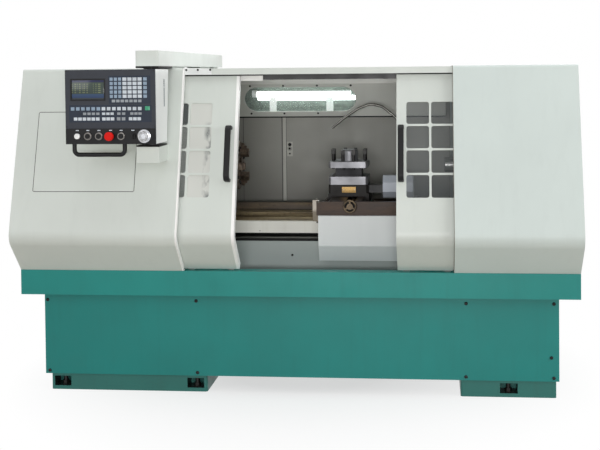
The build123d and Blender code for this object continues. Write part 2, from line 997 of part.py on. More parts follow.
with BuildPart() as chuck_body:
    with BuildSketch(across(chuck_back_x, spindle_y, spindle_z)):
        Circle(chuck_radius)
        Circle(spindle_bore_radius, mode=Mode.SUBTRACT)
    extrude(amount=chuck_length)
    outer_edges = chuck_body.edges().filter_by(GeomType.CIRCLE).sort_by(SortBy.RADIUS)[-2:]
    chamfer(outer_edges, chuck_chamfer)
    for angle in jaw_angles:
        with BuildSketch(radial(angle)):
            slot_middle = (jaw_slot_inner + chuck_radius + overrun) / 2
            with Locations((slot_middle, (slot_floor_x + chuck_face_x + overrun) / 2)):
                Rectangle(chuck_radius + overrun - jaw_slot_inner, jaw_slot_depth + overrun)
        extrude(amount=jaw_width / 2 + jaw_side_gap, both=True, mode=Mode.SUBTRACT)
keep(chuck_body, "chuck_body")

jaw_front_x = chuck_face_x + jaw_proud
jaw_back_x = slot_floor_x + jaw_side_gap
for number, angle in enumerate(jaw_angles, start=1):
    with BuildPart() as jaw:
        with BuildSketch(radial(angle)):
            with BuildLine():
                Polyline(
                    (jaw_inner, jaw_back_x),
                    (jaw_outer, jaw_back_x),
                    (jaw_outer, jaw_front_x - 2 * jaw_step_depth),
                    (jaw_outer - jaw_step_length, jaw_front_x - 2 * jaw_step_depth),
                    (jaw_outer - jaw_step_length, jaw_front_x - jaw_step_depth),
                    (jaw_outer - 2 * jaw_step_length, jaw_front_x - jaw_step_depth),
                    (jaw_outer - 2 * jaw_step_length, jaw_front_x),
                    (jaw_inner, jaw_front_x),
                    close=True,
                )
            make_face()
        extrude(amount=jaw_width / 2, both=True)
    keep(jaw, f"jaw_{number}")

# Main motor on the shelf of the left leg, its pulley, and the belts up to the spindle
motor_high_x = motor_low_x + motor_length
motor_mid_x = (motor_low_x + motor_high_x) / 2
with BuildPart() as main_motor:
    with BuildSketch(across(motor_low_x, spindle_y, motor_z)):
        Circle(motor_radius)
    extrude(amount=motor_length)
    with BuildSketch(across(motor_high_x, spindle_y, motor_z)):
        Circle(motor_fan_radius)
    extrude(amount=motor_fan_length)
    block(
        (motor_mid_x - motor_foot_length / 2, spindle_y - motor_foot_width / 2, shelf_top_z),
        (motor_mid_x + motor_foot_length / 2, spindle_y + motor_foot_width / 2, motor_z),
    )
    with BuildSketch(across(motor_low_x - overrun, spindle_y, motor_z)):
        Circle(motor_shaft_radius + running_gap)
    extrude(amount=motor_shaft_length + overrun, mode=Mode.SUBTRACT)
keep(main_motor, "main_motor")

with BuildPart() as motor_pulley:
    with BuildSketch(along(spindle_y, motor_z)):
        with BuildLine():
            Polyline(
                (pulley_low_x, 0),
                *pulley_outline(motor_pulley_radius, pulley_low_x),
                (pulley_high_x, motor_shaft_radius),
                (motor_low_x + motor_shaft_length - running_gap, motor_shaft_radius),
                (motor_low_x + motor_shaft_length - running_gap, 0),
                close=True,
            )
        make_face()
    revolve(axis=Axis((0, spindle_y, motor_z), (1, 0, 0)))
keep(motor_pulley, "motor_pulley")

belt_first_x = pulley_low_x + pulley_length / 2 - (groove_count - 1) * groove_pitch / 2
belt_width = groove_width - 2 * belt_side_gap
belt_inset = groove_depth - running_gap
belt_low_places = [belt_first_x + index * groove_pitch - belt_width / 2 for index in range(groove_count)]
with BuildPart() as drive_belts:
    for belt_low_x in belt_low_places:
        with BuildSketch(across(belt_low_x, spindle_y, spindle_z)) as loop:
            with Locations((0, 0)):
                Circle(pulley_radius + belt_proud)
            with Locations((0, motor_z - spindle_z)):
                Circle(motor_pulley_radius + belt_proud)
            make_hull(loop.edges())
        extrude(amount=belt_width)
    for belt_low_x in belt_low_places:
        with BuildSketch(across(belt_low_x, spindle_y, spindle_z)) as inside:
            with Locations((0, 0)):
                Circle(pulley_radius - belt_inset)
            with Locations((0, motor_z - spindle_z)):
                Circle(motor_pulley_radius - belt_inset)
            make_hull(inside.edges())
        extrude(amount=belt_width, mode=Mode.SUBTRACT)
keep(drive_belts, "drive_belts")

# Rail that the doors hang on, behind their side returns
rail_y = face_y(rail_low_z, door_setback) + door_return + rail_clear
rail_rear_y = rail_y + rail_thickness

# Folded end covers: front with its knee, top and rear in one sheet, and an end wall
cover_outline = [
    (cover_base_y, tray_top_z),
    (knee_y, knee_z),
    (top_edge_y, cover_top_z),
    (cover_rear_y, cover_top_z),
    (cover_rear_y, tray_top_z),
]
cover_radii = [knee_radius, top_radius, top_radius]
flange_outline = [
    (cover_base_y + cover_flange, tray_top_z),
    *cover_outline,
    (cover_rear_y - cover_flange, tray_top_z),
]


def cover_strip(outline, radii, amount):
    """Closed loop of a folded sheet that follows an outline on its inner side."""
    with BuildLine() as strip:
        FilletPolyline(*outline, radius=radii)
        offset(amount=amount, side=Side.RIGHT)
    return strip.edges()


def end_cover(low_x, high_x, wall_x, return_x):
    """Shell over one end of the machine, open towards the work area and below."""
    with BuildPart() as cover:
        with BuildSketch(across(low_x)):
            make_face(cover_strip(flange_outline, [0, *cover_radii, 0], sheet))
        extrude(amount=high_x - low_x)
        with BuildSketch(across(wall_x)):
            with BuildLine():
                FilletPolyline(*cover_outline, radius=[0, *cover_radii, 0], close=True)
            make_face()
        extrude(amount=sheet)
        with BuildSketch(across(return_x)):
            make_face(cover_strip(cover_outline, cover_radii, cover_return))
        extrude(amount=sheet)
        block(
            (return_x - sheet / 2, rail_y - rail_notch, cover_top_z - cover_return - overrun),
            (return_x + sheet + sheet / 2, rail_rear_y + rail_notch, cover_top_z - sheet),
            Mode.SUBTRACT,
        )
    return cover


access_mid_x = (access_low_x + access_high_x) / 2
access_mid_z = (access_low_z + access_high_z) / 2
access_height = up_slope(access_high_z) - up_slope(access_low_z)

with BuildPart() as headstock_cover:
    add(end_cover(-half_length, head_cover_x, -half_length, head_cover_x - sheet).part)
    with BuildSketch(slope(0)):
        with Locations((access_mid_x, up_slope(access_mid_z))):
            RectangleRounded(access_width, access_height, access_radius)
    extrude(amount=sheet + overrun / 4, both=True, mode=Mode.SUBTRACT)
keep(headstock_cover, "headstock_cover")

with BuildPart() as access_panel:
    with BuildSketch(slope(0)):
        with Locations((access_mid_x, up_slope(access_mid_z))):
            RectangleRounded(access_width - 2 * access_gap, access_height - 2 * access_gap, access_radius)
    extrude(amount=-2 * sheet)
    with BuildSketch(slope(0).offset(-sheet)):
        with Locations((access_mid_x, up_slope(access_mid_z))):
            RectangleRounded(access_width + 2 * access_lap, access_height + 2 * access_lap, access_radius)
    extrude(amount=-sheet)
keep(access_panel, "access_panel")

tail_cover = end_cover(tail_cover_x, half_length, half_length - sheet, tail_cover_x)
keep(tail_cover, "tail_cover")

# Roof between the covers, with a folded front lip and the rail that the doors hang on
with BuildPart() as top_cover:
    block((head_cover_x, roof_front_y, roof_top_z - sheet), (tail_cover_x, cover_rear_y, roof_top_z))
    block(
        (head_cover_x, roof_front_y, roof_top_z - roof_lip),
        (tail_cover_x, roof_front_y + sheet, roof_top_z),
    )
    block(
        (head_cover_x, cover_rear_y - sheet, roof_top_z - roof_lip),
        (tail_cover_x, cover_rear_y, roof_top_z),
    )
    block(
        (sheet - half_length, rail_y, rail_low_z),
        (half_length - sheet, rail_rear_y, roof_top_z - sheet),
    )
keep(top_cover, "top_cover")

# Sliding doors, folded to the outline of the covers, with panes, a handle and a hanger on the rail
door_outline = [
    (face_y(door_low_z, door_setback), door_low_z),
    (knee_y + door_setback, knee_z),
    (face_y(door_high_z, door_setback), door_high_z),
]
hanger_low_z = rail_low_z - hanger_gap - hanger_wall
hanger_back_y = rail_y + rail_thickness + hanger_gap + hanger_wall
hanger_front_y = rail_y - hanger_gap - hanger_wall
pane_reach_x = (pane_columns - 1) * pane_pitch + pane_size
pane_reach_y = (pane_rows - 1) * pane_pitch + pane_size


def make_door(low_x, pane_x, hanger_low_x, hanger_high_x, shoe_x):
    """Folded door sheet with side returns, window openings and a hanger channel."""
    with BuildPart() as door:
        with BuildSketch(across(low_x)):
            make_face(cover_strip(door_outline, [knee_radius], sheet))
        extrude(amount=door_width)
        for edge_x in (low_x, low_x + door_width - sheet):
            with BuildSketch(across(edge_x)):
                make_face(cover_strip(door_outline, [knee_radius], door_return))
            extrude(amount=sheet)
        with BuildSketch(slope(door_setback)):
            with Locations((pane_x, up_slope(pane_group_z))):
                with GridLocations(pane_pitch, pane_pitch, pane_columns, pane_rows):
                    RectangleRounded(pane_size, pane_size, pane_radius)
        extrude(amount=sheet + overrun / 4, both=True, mode=Mode.SUBTRACT)
        sheet_back = face_y(hanger_low_z, door_setback) + sheet / 2
        block(
            (low_x, sheet_back, hanger_low_z),
            (low_x + door_width, hanger_back_y, hanger_low_z + hanger_wall),
        )
        block(
            (hanger_low_x, hanger_front_y, hanger_low_z),
            (hanger_high_x, hanger_back_y, hanger_low_z + hanger_wall),
        )
        for y in (hanger_front_y, hanger_back_y - hanger_wall):
            block(
                (hanger_low_x, y, hanger_low_z),
                (hanger_high_x, y + hanger_wall, hanger_low_z + hanger_height),
            )
        for index in range(shoe_count):
            x = shoe_x + index * shoe_pitch
            shoe_y = face_y(door_low_z, door_setback)
            block(
                (x - shoe_width / 2, shoe_y + sheet / 2, tray_top_z + running_gap),
                (x + shoe_width / 2, shoe_y + shoe_depth, tray_top_z + running_gap + shoe_height),
            )
    return door


left_door = make_door(
    left_door_x,
    left_pane_x,
    left_door_x + hanger_inset,
    left_door_high_x + left_hanger_reach,
    left_door_high_x - shoe_inset - shoe_pitch,
)
keep(left_door, "left_door")

right_door = make_door(
    right_door_x,
    right_pane_x,
    right_door_x + hanger_inset,
    right_door_x + door_width - hanger_inset,
    right_door_x + shoe_inset,
)
keep(right_door, "right_door")


def make_window(pane_x):
    """Clear plate behind the window openings of a door."""
    with BuildPart() as window:
        with BuildSketch(slope(door_setback).offset(-sheet)):
            with Locations((pane_x, up_slope(pane_group_z))):
                RectangleRounded(pane_reach_x + 2 * glass_lap, pane_reach_y + 2 * glass_lap, pane_radius)
        extrude(amount=-glass_thickness)
    return window


left_door_window = make_window(left_pane_x)
keep(left_door_window, "left_door_window")
right_door_window = make_window(right_pane_x)
keep(right_door_window, "right_door_window")


def make_handle(x):
    """Bent flat bar on the sloping face of a door."""
    face = slope(door_setback)
    middle = up_slope(handle_centre_z)
    half = (handle_length - handle_bar) / 2
    side_plane = Plane(origin=face.from_local_coords((x, middle, 0)), x_dir=face.y_dir, z_dir=(1, 0, 0))
    reach = handle_standoff - handle_depth / 2
    with BuildPart() as handle:
        with BuildLine(side_plane):
            FilletPolyline((-half, 0), (-half, reach), (half, reach), (half, 0), radius=handle_radius)
        foot = face.from_local_coords((x, middle - half, 0))
        with BuildSketch(Plane(origin=foot, x_dir=(1, 0, 0), z_dir=face.z_dir)):
            RectangleRounded(handle_bar, handle_depth, handle_depth / 4)
        sweep()
    return handle


left_door_handle = make_handle(left_handle_x)
keep(left_door_handle, "left_door_handle")
right_door_handle = make_handle(right_handle_x)
keep(right_door_handle, "right_door_handle")

# Rear wall with side returns and the opening for its door
hinge_x = rear_open_high_x + rear_door_lap + hinge_offset
hinge_y = rear_wall_y + sheet + hinge_radius + hinge_stand
hinge_zs = [
    rear_open_low_z + hinge_inset + index * (rear_open_height - 2 * hinge_inset) for index in range(hinge_count)
]
with BuildPart() as rear_wall:
    block((head_cover_x, rear_wall_y, tray_floor_z), (tail_cover_x, rear_wall_y + sheet, roof_top_z - sheet))
    block(
        (head_cover_x, rear_wall_y, tray_top_z),
        (head_cover_x + sheet, cover_rear_y - sheet, roof_top_z - sheet),
    )
    block(
        (tail_cover_x - sheet, rear_wall_y, tray_top_z),
        (tail_cover_x, cover_rear_y - sheet, roof_top_z - sheet),
    )
    block(
        (rear_open_low_x, rear_wall_y - overrun, rear_open_low_z),
        (rear_open_high_x, rear_wall_y + overrun, rear_open_high_z),
        Mode.SUBTRACT,
    )
    for leaf_z in hinge_zs:
        with BuildSketch(Plane.XY.offset(leaf_z - hinge_length)):
            with Locations((hinge_x, hinge_y)):
                Circle(hinge_radius)
            with Locations((hinge_x, (rear_wall_y + sheet / 2 + hinge_y) / 2)):
                Rectangle(hinge_leaf, hinge_y - rear_wall_y - sheet / 2)
        extrude(amount=hinge_length - running_gap)
keep(rear_wall, "rear_wall")

rear_door_y = rear_wall_y + sheet + rear_door_gap
with BuildPart() as rear_door:
    low = (rear_open_low_x - rear_door_lap, rear_door_y, rear_open_low_z - rear_door_lap)
    high = (rear_open_high_x + rear_door_lap, rear_door_y + rear_door_return, rear_open_high_z + rear_door_lap)
    block(low, high)
    block(
        (low[0] + sheet, rear_door_y + sheet, low[2] + sheet),
        (high[0] - sheet, rear_door_y + overrun + rear_door_return, high[2] - sheet),
        Mode.SUBTRACT,
    )
    for leaf_z in hinge_zs:
        with BuildSketch(Plane.XY.offset(leaf_z)):
            with Locations((hinge_x, hinge_y)):
                Circle(hinge_radius)
            with Locations(((high[0] - sheet / 2 + hinge_x) / 2, hinge_y)):
                Rectangle(hinge_x - high[0] + sheet / 2, hinge_leaf)
        extrude(amount=hinge_length)
    with BuildSketch(front(rear_door_y + sheet)):
        with Locations((lock_x, lock_z)):
            Circle(lock_radius)
    extrude(amount=sheet + lock_depth)
keep(rear_door, "rear_door")

# Lamp box under the roof, its lens, and the tube on two clips
lamp_outline = [
    (lamp_front_y, lamp_top_z),
    (lamp_front_y, lamp_lip_z),
    (lamp_front_y + lamp_lean, lamp_low_z),
    (rear_wall_y, lamp_low_z),
    (rear_wall_y, lamp_top_z),
]
lamp_rise = lamp_lip_z - lamp_low_z
window_y = lamp_front_y + lamp_lean * (lamp_lip_z - lamp_window_z) / lamp_rise
lamp_face = Plane(
    origin=(lamp_window_x, window_y, lamp_window_z), x_dir=(1, 0, 0), z_dir=(0, -lamp_rise, -lamp_lean)
)
with BuildPart() as lamp_housing:
    with BuildSketch(across(lamp_low_x)):
        with BuildLine():
            Polyline(*lamp_outline, close=True)
        make_face()
    extrude(amount=lamp_high_x - lamp_low_x)
    with BuildSketch(across(lamp_low_x + sheet)):
        with BuildLine():
            Polyline(*lamp_outline, close=True)
        make_face()
        offset(amount=-sheet, kind=Kind.INTERSECTION)
    extrude(amount=lamp_high_x - lamp_low_x - 2 * sheet, mode=Mode.SUBTRACT)
    block(
        (lamp_low_x + sheet, rear_wall_y - 2 * sheet, lamp_low_z + sheet),
        (lamp_high_x - sheet, rear_wall_y + overrun, lamp_top_z - sheet),
        Mode.SUBTRACT,
    )
    with BuildSketch(lamp_face):
        SlotOverall(lamp_window_length, lamp_window_height)
    extrude(amount=sheet + overrun / 4, both=True, mode=Mode.SUBTRACT)
keep(lamp_housing, "lamp_housing")

with BuildPart() as lamp_lens:
    with BuildSketch(lamp_face.offset(-sheet)):
        SlotOverall(lamp_window_length + 2 * lens_lap, lamp_window_height + 2 * lens_lap)
    extrude(amount=-lens_thickness)
keep(lamp_lens, "lamp_lens")

tube_y = window_y + tube_setback + tube_radius
tube_z = lamp_window_z + tube_rise
with BuildPart() as lamp_tube:
    with BuildSketch(across(lamp_window_x - tube_length / 2, tube_y, tube_z)):
        Circle(tube_radius)
    extrude(amount=tube_length)
    for x in (lamp_window_x - tube_length / 2, lamp_window_x + tube_length / 2 - tube_cap_length):
        with BuildSketch(across(x, tube_y, tube_z)):
            Circle(tube_cap_radius)
        extrude(amount=tube_cap_length)
    for side in (-1, 1):
        clip_x = lamp_window_x + side * clip_pitch / 2
        block(
            (clip_x - clip_width / 2, tube_y - clip_thickness / 2, lamp_low_z + sheet),
            (clip_x + clip_width / 2, tube_y + clip_thickness / 2, tube_z),
        )
keep(lamp_tube, "lamp_tube")

# Saddle on the ways, with the front wall, the dovetail for the cross slide and the arm to the long nut
saddle_high_x = saddle_low_x + saddle_length
saddle_rear_y = saddle_front_y + saddle_depth
slide_z = bed_top_z + running_gap
ridge_top_z = saddle_top_z + ridge_height
cap_inner_y = bed_front_y + bed_cap_width
ridge_outline = [
    (cross_x - ridge_half_width + ridge_undercut, saddle_top_z),
    (cross_x - ridge_half_width, ridge_top_z),
    (cross_x + ridge_half_width, ridge_top_z),
    (cross_x + ridge_half_width - ridge_undercut, saddle_top_z),
]
bracket_high_x = bracket_low_x + bracket_length

with BuildPart() as saddle:
    block((saddle_low_x, saddle_front_y, slide_z), (saddle_high_x, saddle_rear_y, saddle_top_z))
    chamfer(saddle.edges().group_by(Axis.Z)[-1], saddle_chamfer)
    block(
        (saddle_low_x - overrun, saddle_front_y - overrun, slide_z - overrun),
        (saddle_high_x + overrun, bed_front_y, saddle_overhang_z),
        Mode.SUBTRACT,
    )
    block(
        (saddle_low_x - overrun, cap_inner_y, slide_z - overrun),
        (saddle_high_x + overrun, -cap_inner_y, slide_z + saddle_relief),
        Mode.SUBTRACT,
    )
    for low_x, high_x in (
        (saddle_low_x - overrun, cross_x - cross_half_width - saddle_notch_margin),
        (cross_x + cross_half_width + saddle_notch_margin, saddle_high_x + overrun),
    ):
        block(
            (low_x, cap_inner_y + saddle_notch_margin, slide_z - overrun),
            (high_x, -cap_inner_y - saddle_notch_margin, saddle_top_z + overrun),
            Mode.SUBTRACT,
        )
    with BuildSketch(across(saddle_low_x - overrun)):
        with BuildLine():
            Polyline(
                (way_y - way_width / 2, slide_z),
                (way_y, slide_z + way_height),
                (way_y + way_width / 2, slide_z),
                (way_y, slide_z - way_height),
                close=True,
            )
        make_face()
    extrude(amount=saddle_length + 2 * overrun, mode=Mode.SUBTRACT)
    with BuildSketch(front(saddle_front_y)):
        with BuildLine():
            Polyline(*ridge_outline, close=True)
        make_face()
    extrude(amount=-saddle_depth)
    block(
        (saddle_low_x, saddle_front_y, saddle_overhang_z),
        (saddle_high_x, saddle_front_y + saddle_wall, ridge_top_z),
    )
    block(
        (cross_screw_x - ridge_channel / 2, saddle_front_y + saddle_wall, cross_screw_z - ridge_channel / 2),
        (cross_screw_x + ridge_channel / 2, saddle_rear_y - ridge_wall, ridge_top_z + overrun),
        Mode.SUBTRACT,
    )
    with BuildSketch(front(saddle_front_y - overrun)):
        with Locations((cross_screw_x, cross_screw_z)):
            Circle(cross_screw_radius + shaft_gap)
    extrude(amount=-(saddle_depth + 2 * overrun), mode=Mode.SUBTRACT)
    block(
        (bracket_low_x, saddle_front_y + bracket_front_gap, bracket_low_z),
        (bracket_high_x, bracket_back_y, saddle_overhang_z + bracket_front_gap),
    )
    block(
        (bracket_low_x, bracket_back_y - sheet, bracket_low_z),
        (bracket_high_x, long_screw_y, bracket_high_z),
    )
    with BuildSketch(across(bracket_low_x, long_screw_y, long_screw_z)):
        Circle(long_nut_radius)
    extrude(amount=bracket_length)
    with BuildSketch(across(bracket_low_x - overrun, long_screw_y, long_screw_z)):
        Circle(long_screw_radius + shaft_gap)
    extrude(amount=bracket_length + 2 * overrun, mode=Mode.SUBTRACT)
keep(saddle, "saddle")

x_motor = servo(
    Plane(origin=(cross_screw_x, saddle_rear_y, cross_screw_z), x_dir=(-1, 0, 0), z_dir=(0, 1, 0)),
    cross_servo_width,
    cross_servo_length,
    cross_screw_radius + running_gap,
)
keep(x_motor, "x_motor")

# Apron cover, a bent sheet with end plates, and the wiper bracket at its left
apron_high_x = apron_low_x + apron_length
apron_outline = [
    (apron_front_y + apron_slope, apron_low_z),
    (apron_front_y, apron_bend_z),
    (apron_front_y, apron_top_z),
    (saddle_front_y, apron_top_z),
]
apron_back_y = guard_y - apron_back_gap
with BuildPart() as apron_cover:
    with BuildSketch(across(apron_low_x)):
        make_face(cover_strip(apron_outline, [apron_bend_radius, 0], sheet))
    extrude(amount=apron_length)
    for x in (apron_low_x, apron_high_x - sheet):
        with BuildSketch(across(x)):
            with BuildLine():
                FilletPolyline(
                    *apron_outline,
                    (saddle_front_y, saddle_overhang_z - running_gap),
                    (apron_back_y, saddle_overhang_z - running_gap),
                    (apron_back_y, apron_low_z),
                    radius=[0, apron_bend_radius, 0, 0, 0, 0, 0],
                    close=True,
                )
            make_face()
        extrude(amount=sheet)
    block(
        (saddle_low_x - wiper_thickness, saddle_front_y, apron_top_z - wiper_drop),
        (saddle_low_x, saddle_front_y + wiper_depth, wiper_top_z),
    )
    block(
        (saddle_low_x - wiper_width, saddle_front_y, apron_top_z - wiper_drop),
        (saddle_low_x, saddle_front_y + wiper_thickness, wiper_top_z),
    )
    block(
        (saddle_low_x - wiper_thickness, saddle_front_y - wiper_thickness, apron_top_z - wiper_drop),
        (apron_low_x + sheet, saddle_front_y, apron_top_z),
    )
    block(
        (saddle_low_x - wiper_thickness, saddle_front_y, wiper_top_z - wiper_thickness),
        (saddle_low_x + wiper_hook, saddle_front_y + wiper_thickness, wiper_top_z),
    )
keep(apron_cover, "apron_cover")

# Cross slide, clear of the dovetail all round, with its nut round the cross screw
cross_rear_y = cross_front_y + cross_depth
with BuildPart() as cross_slide:
    block(
        (cross_x - cross_half_width, cross_front_y, saddle_top_z + running_gap),
        (cross_x + cross_half_width, cross_rear_y, cross_top_z),
    )
    with BuildSketch(front(cross_front_y - overrun)):
        with BuildLine():
            Polyline(
                (cross_x - ridge_half_width + ridge_undercut - running_gap, saddle_top_z - running_gap),
                (cross_x - ridge_half_width - running_gap, ridge_top_z + running_gap),
                (cross_x + ridge_half_width + running_gap, ridge_top_z + running_gap),
                (cross_x + ridge_half_width - ridge_undercut + running_gap, saddle_top_z - running_gap),
                close=True,
            )
        make_face()
    extrude(amount=-(cross_depth + 2 * overrun), mode=Mode.SUBTRACT)
    with BuildSketch(front(cross_nut_y)):
        with Locations((cross_screw_x, cross_screw_z)):
            Circle(cross_nut_radius)
        with Locations((cross_screw_x, (cross_screw_z + cross_top_z) / 2)):
            Rectangle(2 * cross_nut_radius, cross_top_z - cross_screw_z)
        with Locations((cross_screw_x, cross_screw_z)):
            Circle(cross_screw_radius + shaft_gap, mode=Mode.SUBTRACT)
    extrude(amount=-cross_nut_length)
keep(cross_slide, "cross_slide")

# Cross screw with the three spoked handwheel on its front end
wheel_front_y = saddle_front_y - wheel_stand - wheel_hub_length
wheel_mid_y = wheel_front_y + wheel_hub_length / 2
wheel_ring_radius = wheel_radius - wheel_rim
with BuildPart() as x_screw:
    with BuildSketch(front(wheel_front_y)):
        with Locations((cross_screw_x, cross_screw_z)):
            Circle(cross_screw_radius)
    extrude(amount=-(saddle_rear_y + servo_bore_depth - running_gap - wheel_front_y))
    with BuildSketch(front(wheel_front_y)):
        with Locations((cross_screw_x, cross_screw_z)):
            Circle(wheel_hub_radius + wheel_rim)
    extrude(amount=-wheel_hub_length)
    with BuildSketch(Plane.XY.offset(cross_screw_z)):
        with Locations((cross_screw_x + wheel_ring_radius, wheel_mid_y)):
            Circle(wheel_rim)
    revolve(axis=Axis((cross_screw_x, wheel_mid_y, cross_screw_z), (0, 1, 0)))
    with BuildSketch(front(wheel_mid_y)):
        with Locations((cross_screw_x, cross_screw_z)):
            with PolarLocations(wheel_ring_radius / 2, wheel_spokes, start_angle=90):
                Rectangle(wheel_ring_radius, wheel_spoke_width)
    extrude(amount=wheel_spoke_thickness / 2, both=True)
keep(x_screw, "x_screw")

# Tool turret: base with the index drive, and the square head that turns on it
turret_half = turret_size / 2
slot_low_z = turret_low_z + turret_plate
slot_high_z = slot_low_z + turret_slot
turret_top_z = slot_high_z + turret_cap_plate
with BuildPart() as turret_base:
    block(
        (cross_x - turret_base_width / 2, turret_y - turret_base_depth / 2, cross_top_z),
        (cross_x + turret_base_width / 2, turret_y + turret_base_depth / 2, turret_low_z - turret_turn_gap),
    )
    chamfer(turret_base.edges().filter_by(Axis.Z), turret_chamfer)
keep(turret_base, "turret_base")

with BuildPart() as turret_head:
    with BuildSketch(Plane.XY.offset(turret_low_z)):
        with Locations((cross_x, turret_y)):
            Rectangle(turret_size, turret_size)
    extrude(amount=turret_top_z - turret_low_z)
    chamfer(turret_head.edges().filter_by(Axis.Z), turret_chamfer)
    with BuildSketch(Plane.XY.offset(slot_low_z)):
        with Locations((cross_x, turret_y)):
            Rectangle(turret_size + overrun, turret_size + overrun)
            Rectangle(turret_core, turret_core, mode=Mode.SUBTRACT)
    extrude(amount=turret_slot, mode=Mode.SUBTRACT)
    with BuildSketch(Plane.XY.offset(turret_top_z)):
        with Locations((cross_x, turret_y)):
            Circle(dome_radius)
    extrude(amount=dome_height)
    fillet(turret_head.edges().group_by(Axis.Z)[-1], dome_fillet)
    bolt_edge = turret_half - tool_bolt_inset
    bolt_places = []
    for side in (-1, 1):
        for half in (-tool_bolt_pitch / 2, tool_bolt_pitch / 2):
            bolt_places.append((cross_x + half, turret_y + side * bolt_edge))
            bolt_places.append((cross_x + side * bolt_edge, turret_y + half))
    with BuildSketch(Plane.XY.offset(turret_top_z)):
        with Locations(*bolt_places):
            Circle(tool_bolt_radius + tool_bolt_gap)
    extrude(amount=-(turret_cap_plate + overrun / 2), mode=Mode.SUBTRACT)
keep(turret_head, "turret_head")

bolt_top_z = turret_top_z + tool_bolt_rise
with BuildPart() as tool_bolts:
    with BuildSketch(Plane.XY.offset(slot_high_z - tool_bolt_tip)):
        with Locations(*bolt_places):
            Circle(tool_bolt_radius)
    extrude(amount=bolt_top_z - slot_high_z + tool_bolt_tip)
    with BuildSketch(Plane.XY.offset(bolt_top_z - tool_bolt_head_height)):
        with Locations(*bolt_places):
            Rectangle(tool_bolt_head, tool_bolt_head)
    extrude(amount=tool_bolt_head_height)
keep(tool_bolts, "tool_bolts")

adapter_low_x = cross_x + turret_base_width / 2
tool_motor_x = adapter_low_x + adapter_length
with BuildPart() as turret_motor:
    block(
        (adapter_low_x, turret_y - adapter_width / 2, cross_top_z),
        (tool_motor_x, turret_y + adapter_width / 2, adapter_high_z),
    )
    with BuildSketch(across(tool_motor_x - sheet, turret_y, tool_motor_z)):
        RegularPolygon(
            tool_motor_radius, tool_motor_sides, major_radius=False, rotation=180 / tool_motor_sides
        )
    extrude(amount=tool_motor_length)
    fillet(turret_motor.edges().group_by(Axis.X)[-1], tool_motor_radius_end)
keep(turret_motor, "turret_motor")

# Coolant pipe, bent by hand into a gooseneck over the turret
pipe_points = [(pipe_x, pipe_y, saddle_top_z)]
for reach_share, height_share in zip(pipe_reach_shares, pipe_height_shares):
    pipe_points.append((pipe_x - pipe_reach * reach_share, pipe_y, saddle_top_z + pipe_height * height_share))
with BuildPart() as coolant_pipe:
    with BuildLine():
        FilletPolyline(*pipe_points, radius=pipe_bend_radius)
    with BuildSketch(Plane.XY.offset(saddle_top_z)):
        with Locations((pipe_x, pipe_y)):
            Circle(pipe_radius)
    sweep()
    with BuildSketch(Plane.XY.offset(saddle_top_z)):
        with Locations((pipe_x, pipe_y)):
            Circle(pipe_socket_radius)
    extrude(amount=pipe_socket_height)
keep(coolant_pipe, "coolant_pipe")

# Tailstock on the ways, and its quill, moved by a cylinder inside the barrel
tail_high_x = tail_low_x + tail_length
tail_base_z = slide_z + tail_base_height
with BuildPart() as tailstock_body:
    with BuildSketch(across(tail_low_x)):
        with BuildLine():
            Polyline(
                (spindle_y - tail_half_width, slide_z),
                (spindle_y - tail_half_width, tail_base_z),
                (spindle_y - tail_neck_half_width, spindle_z),
                (spindle_y + tail_neck_half_width, spindle_z),
                (spindle_y + tail_half_width, tail_base_z),
                (spindle_y + tail_half_width, slide_z),
                close=True,
            )
        make_face()
        with Locations((spindle_y, spindle_z)):
            Circle(tail_barrel_radius)
    extrude(amount=tail_length)
    with BuildSketch(across(tail_high_x, spindle_y, spindle_z)):
        Circle(tail_neck_half_width)
    extrude(amount=tail_cap_length)
    with BuildSketch(across(tail_low_x - overrun)):
        with BuildLine():
            Polyline(
                (way_y - way_width / 2, slide_z),
                (way_y, slide_z + way_height),
                (way_y + way_width / 2, slide_z),
                (way_y, slide_z - way_height),
                close=True,
            )
        make_face()
    extrude(amount=tail_length + 2 * overrun, mode=Mode.SUBTRACT)
    with BuildSketch(across(tail_low_x - overrun, spindle_y, spindle_z)):
        Circle(quill_radius + shaft_gap)
    extrude(amount=tail_length + overrun, mode=Mode.SUBTRACT)
keep(tailstock_body, "tailstock_body")

quill_low_x = tail_low_x - quill_out
quill_high_x = quill_low_x + quill_length
with BuildPart() as quill:
    with BuildSketch(along(spindle_y, spindle_z)):
        with BuildLine():
            Polyline(
                (quill_low_x, quill_bore_radius),
                (quill_low_x, quill_radius - quill_chamfer),
                (quill_low_x + quill_chamfer, quill_radius),
                (quill_high_x, quill_radius),
                (quill_high_x, 0),
                (quill_low_x + quill_bore_depth, 0),
                (quill_low_x + quill_bore_depth, quill_bore_end_radius),
                close=True,
            )
        make_face()
    revolve(axis=Axis((0, spindle_y, spindle_z), (1, 0, 0)))
keep(quill, "quill")

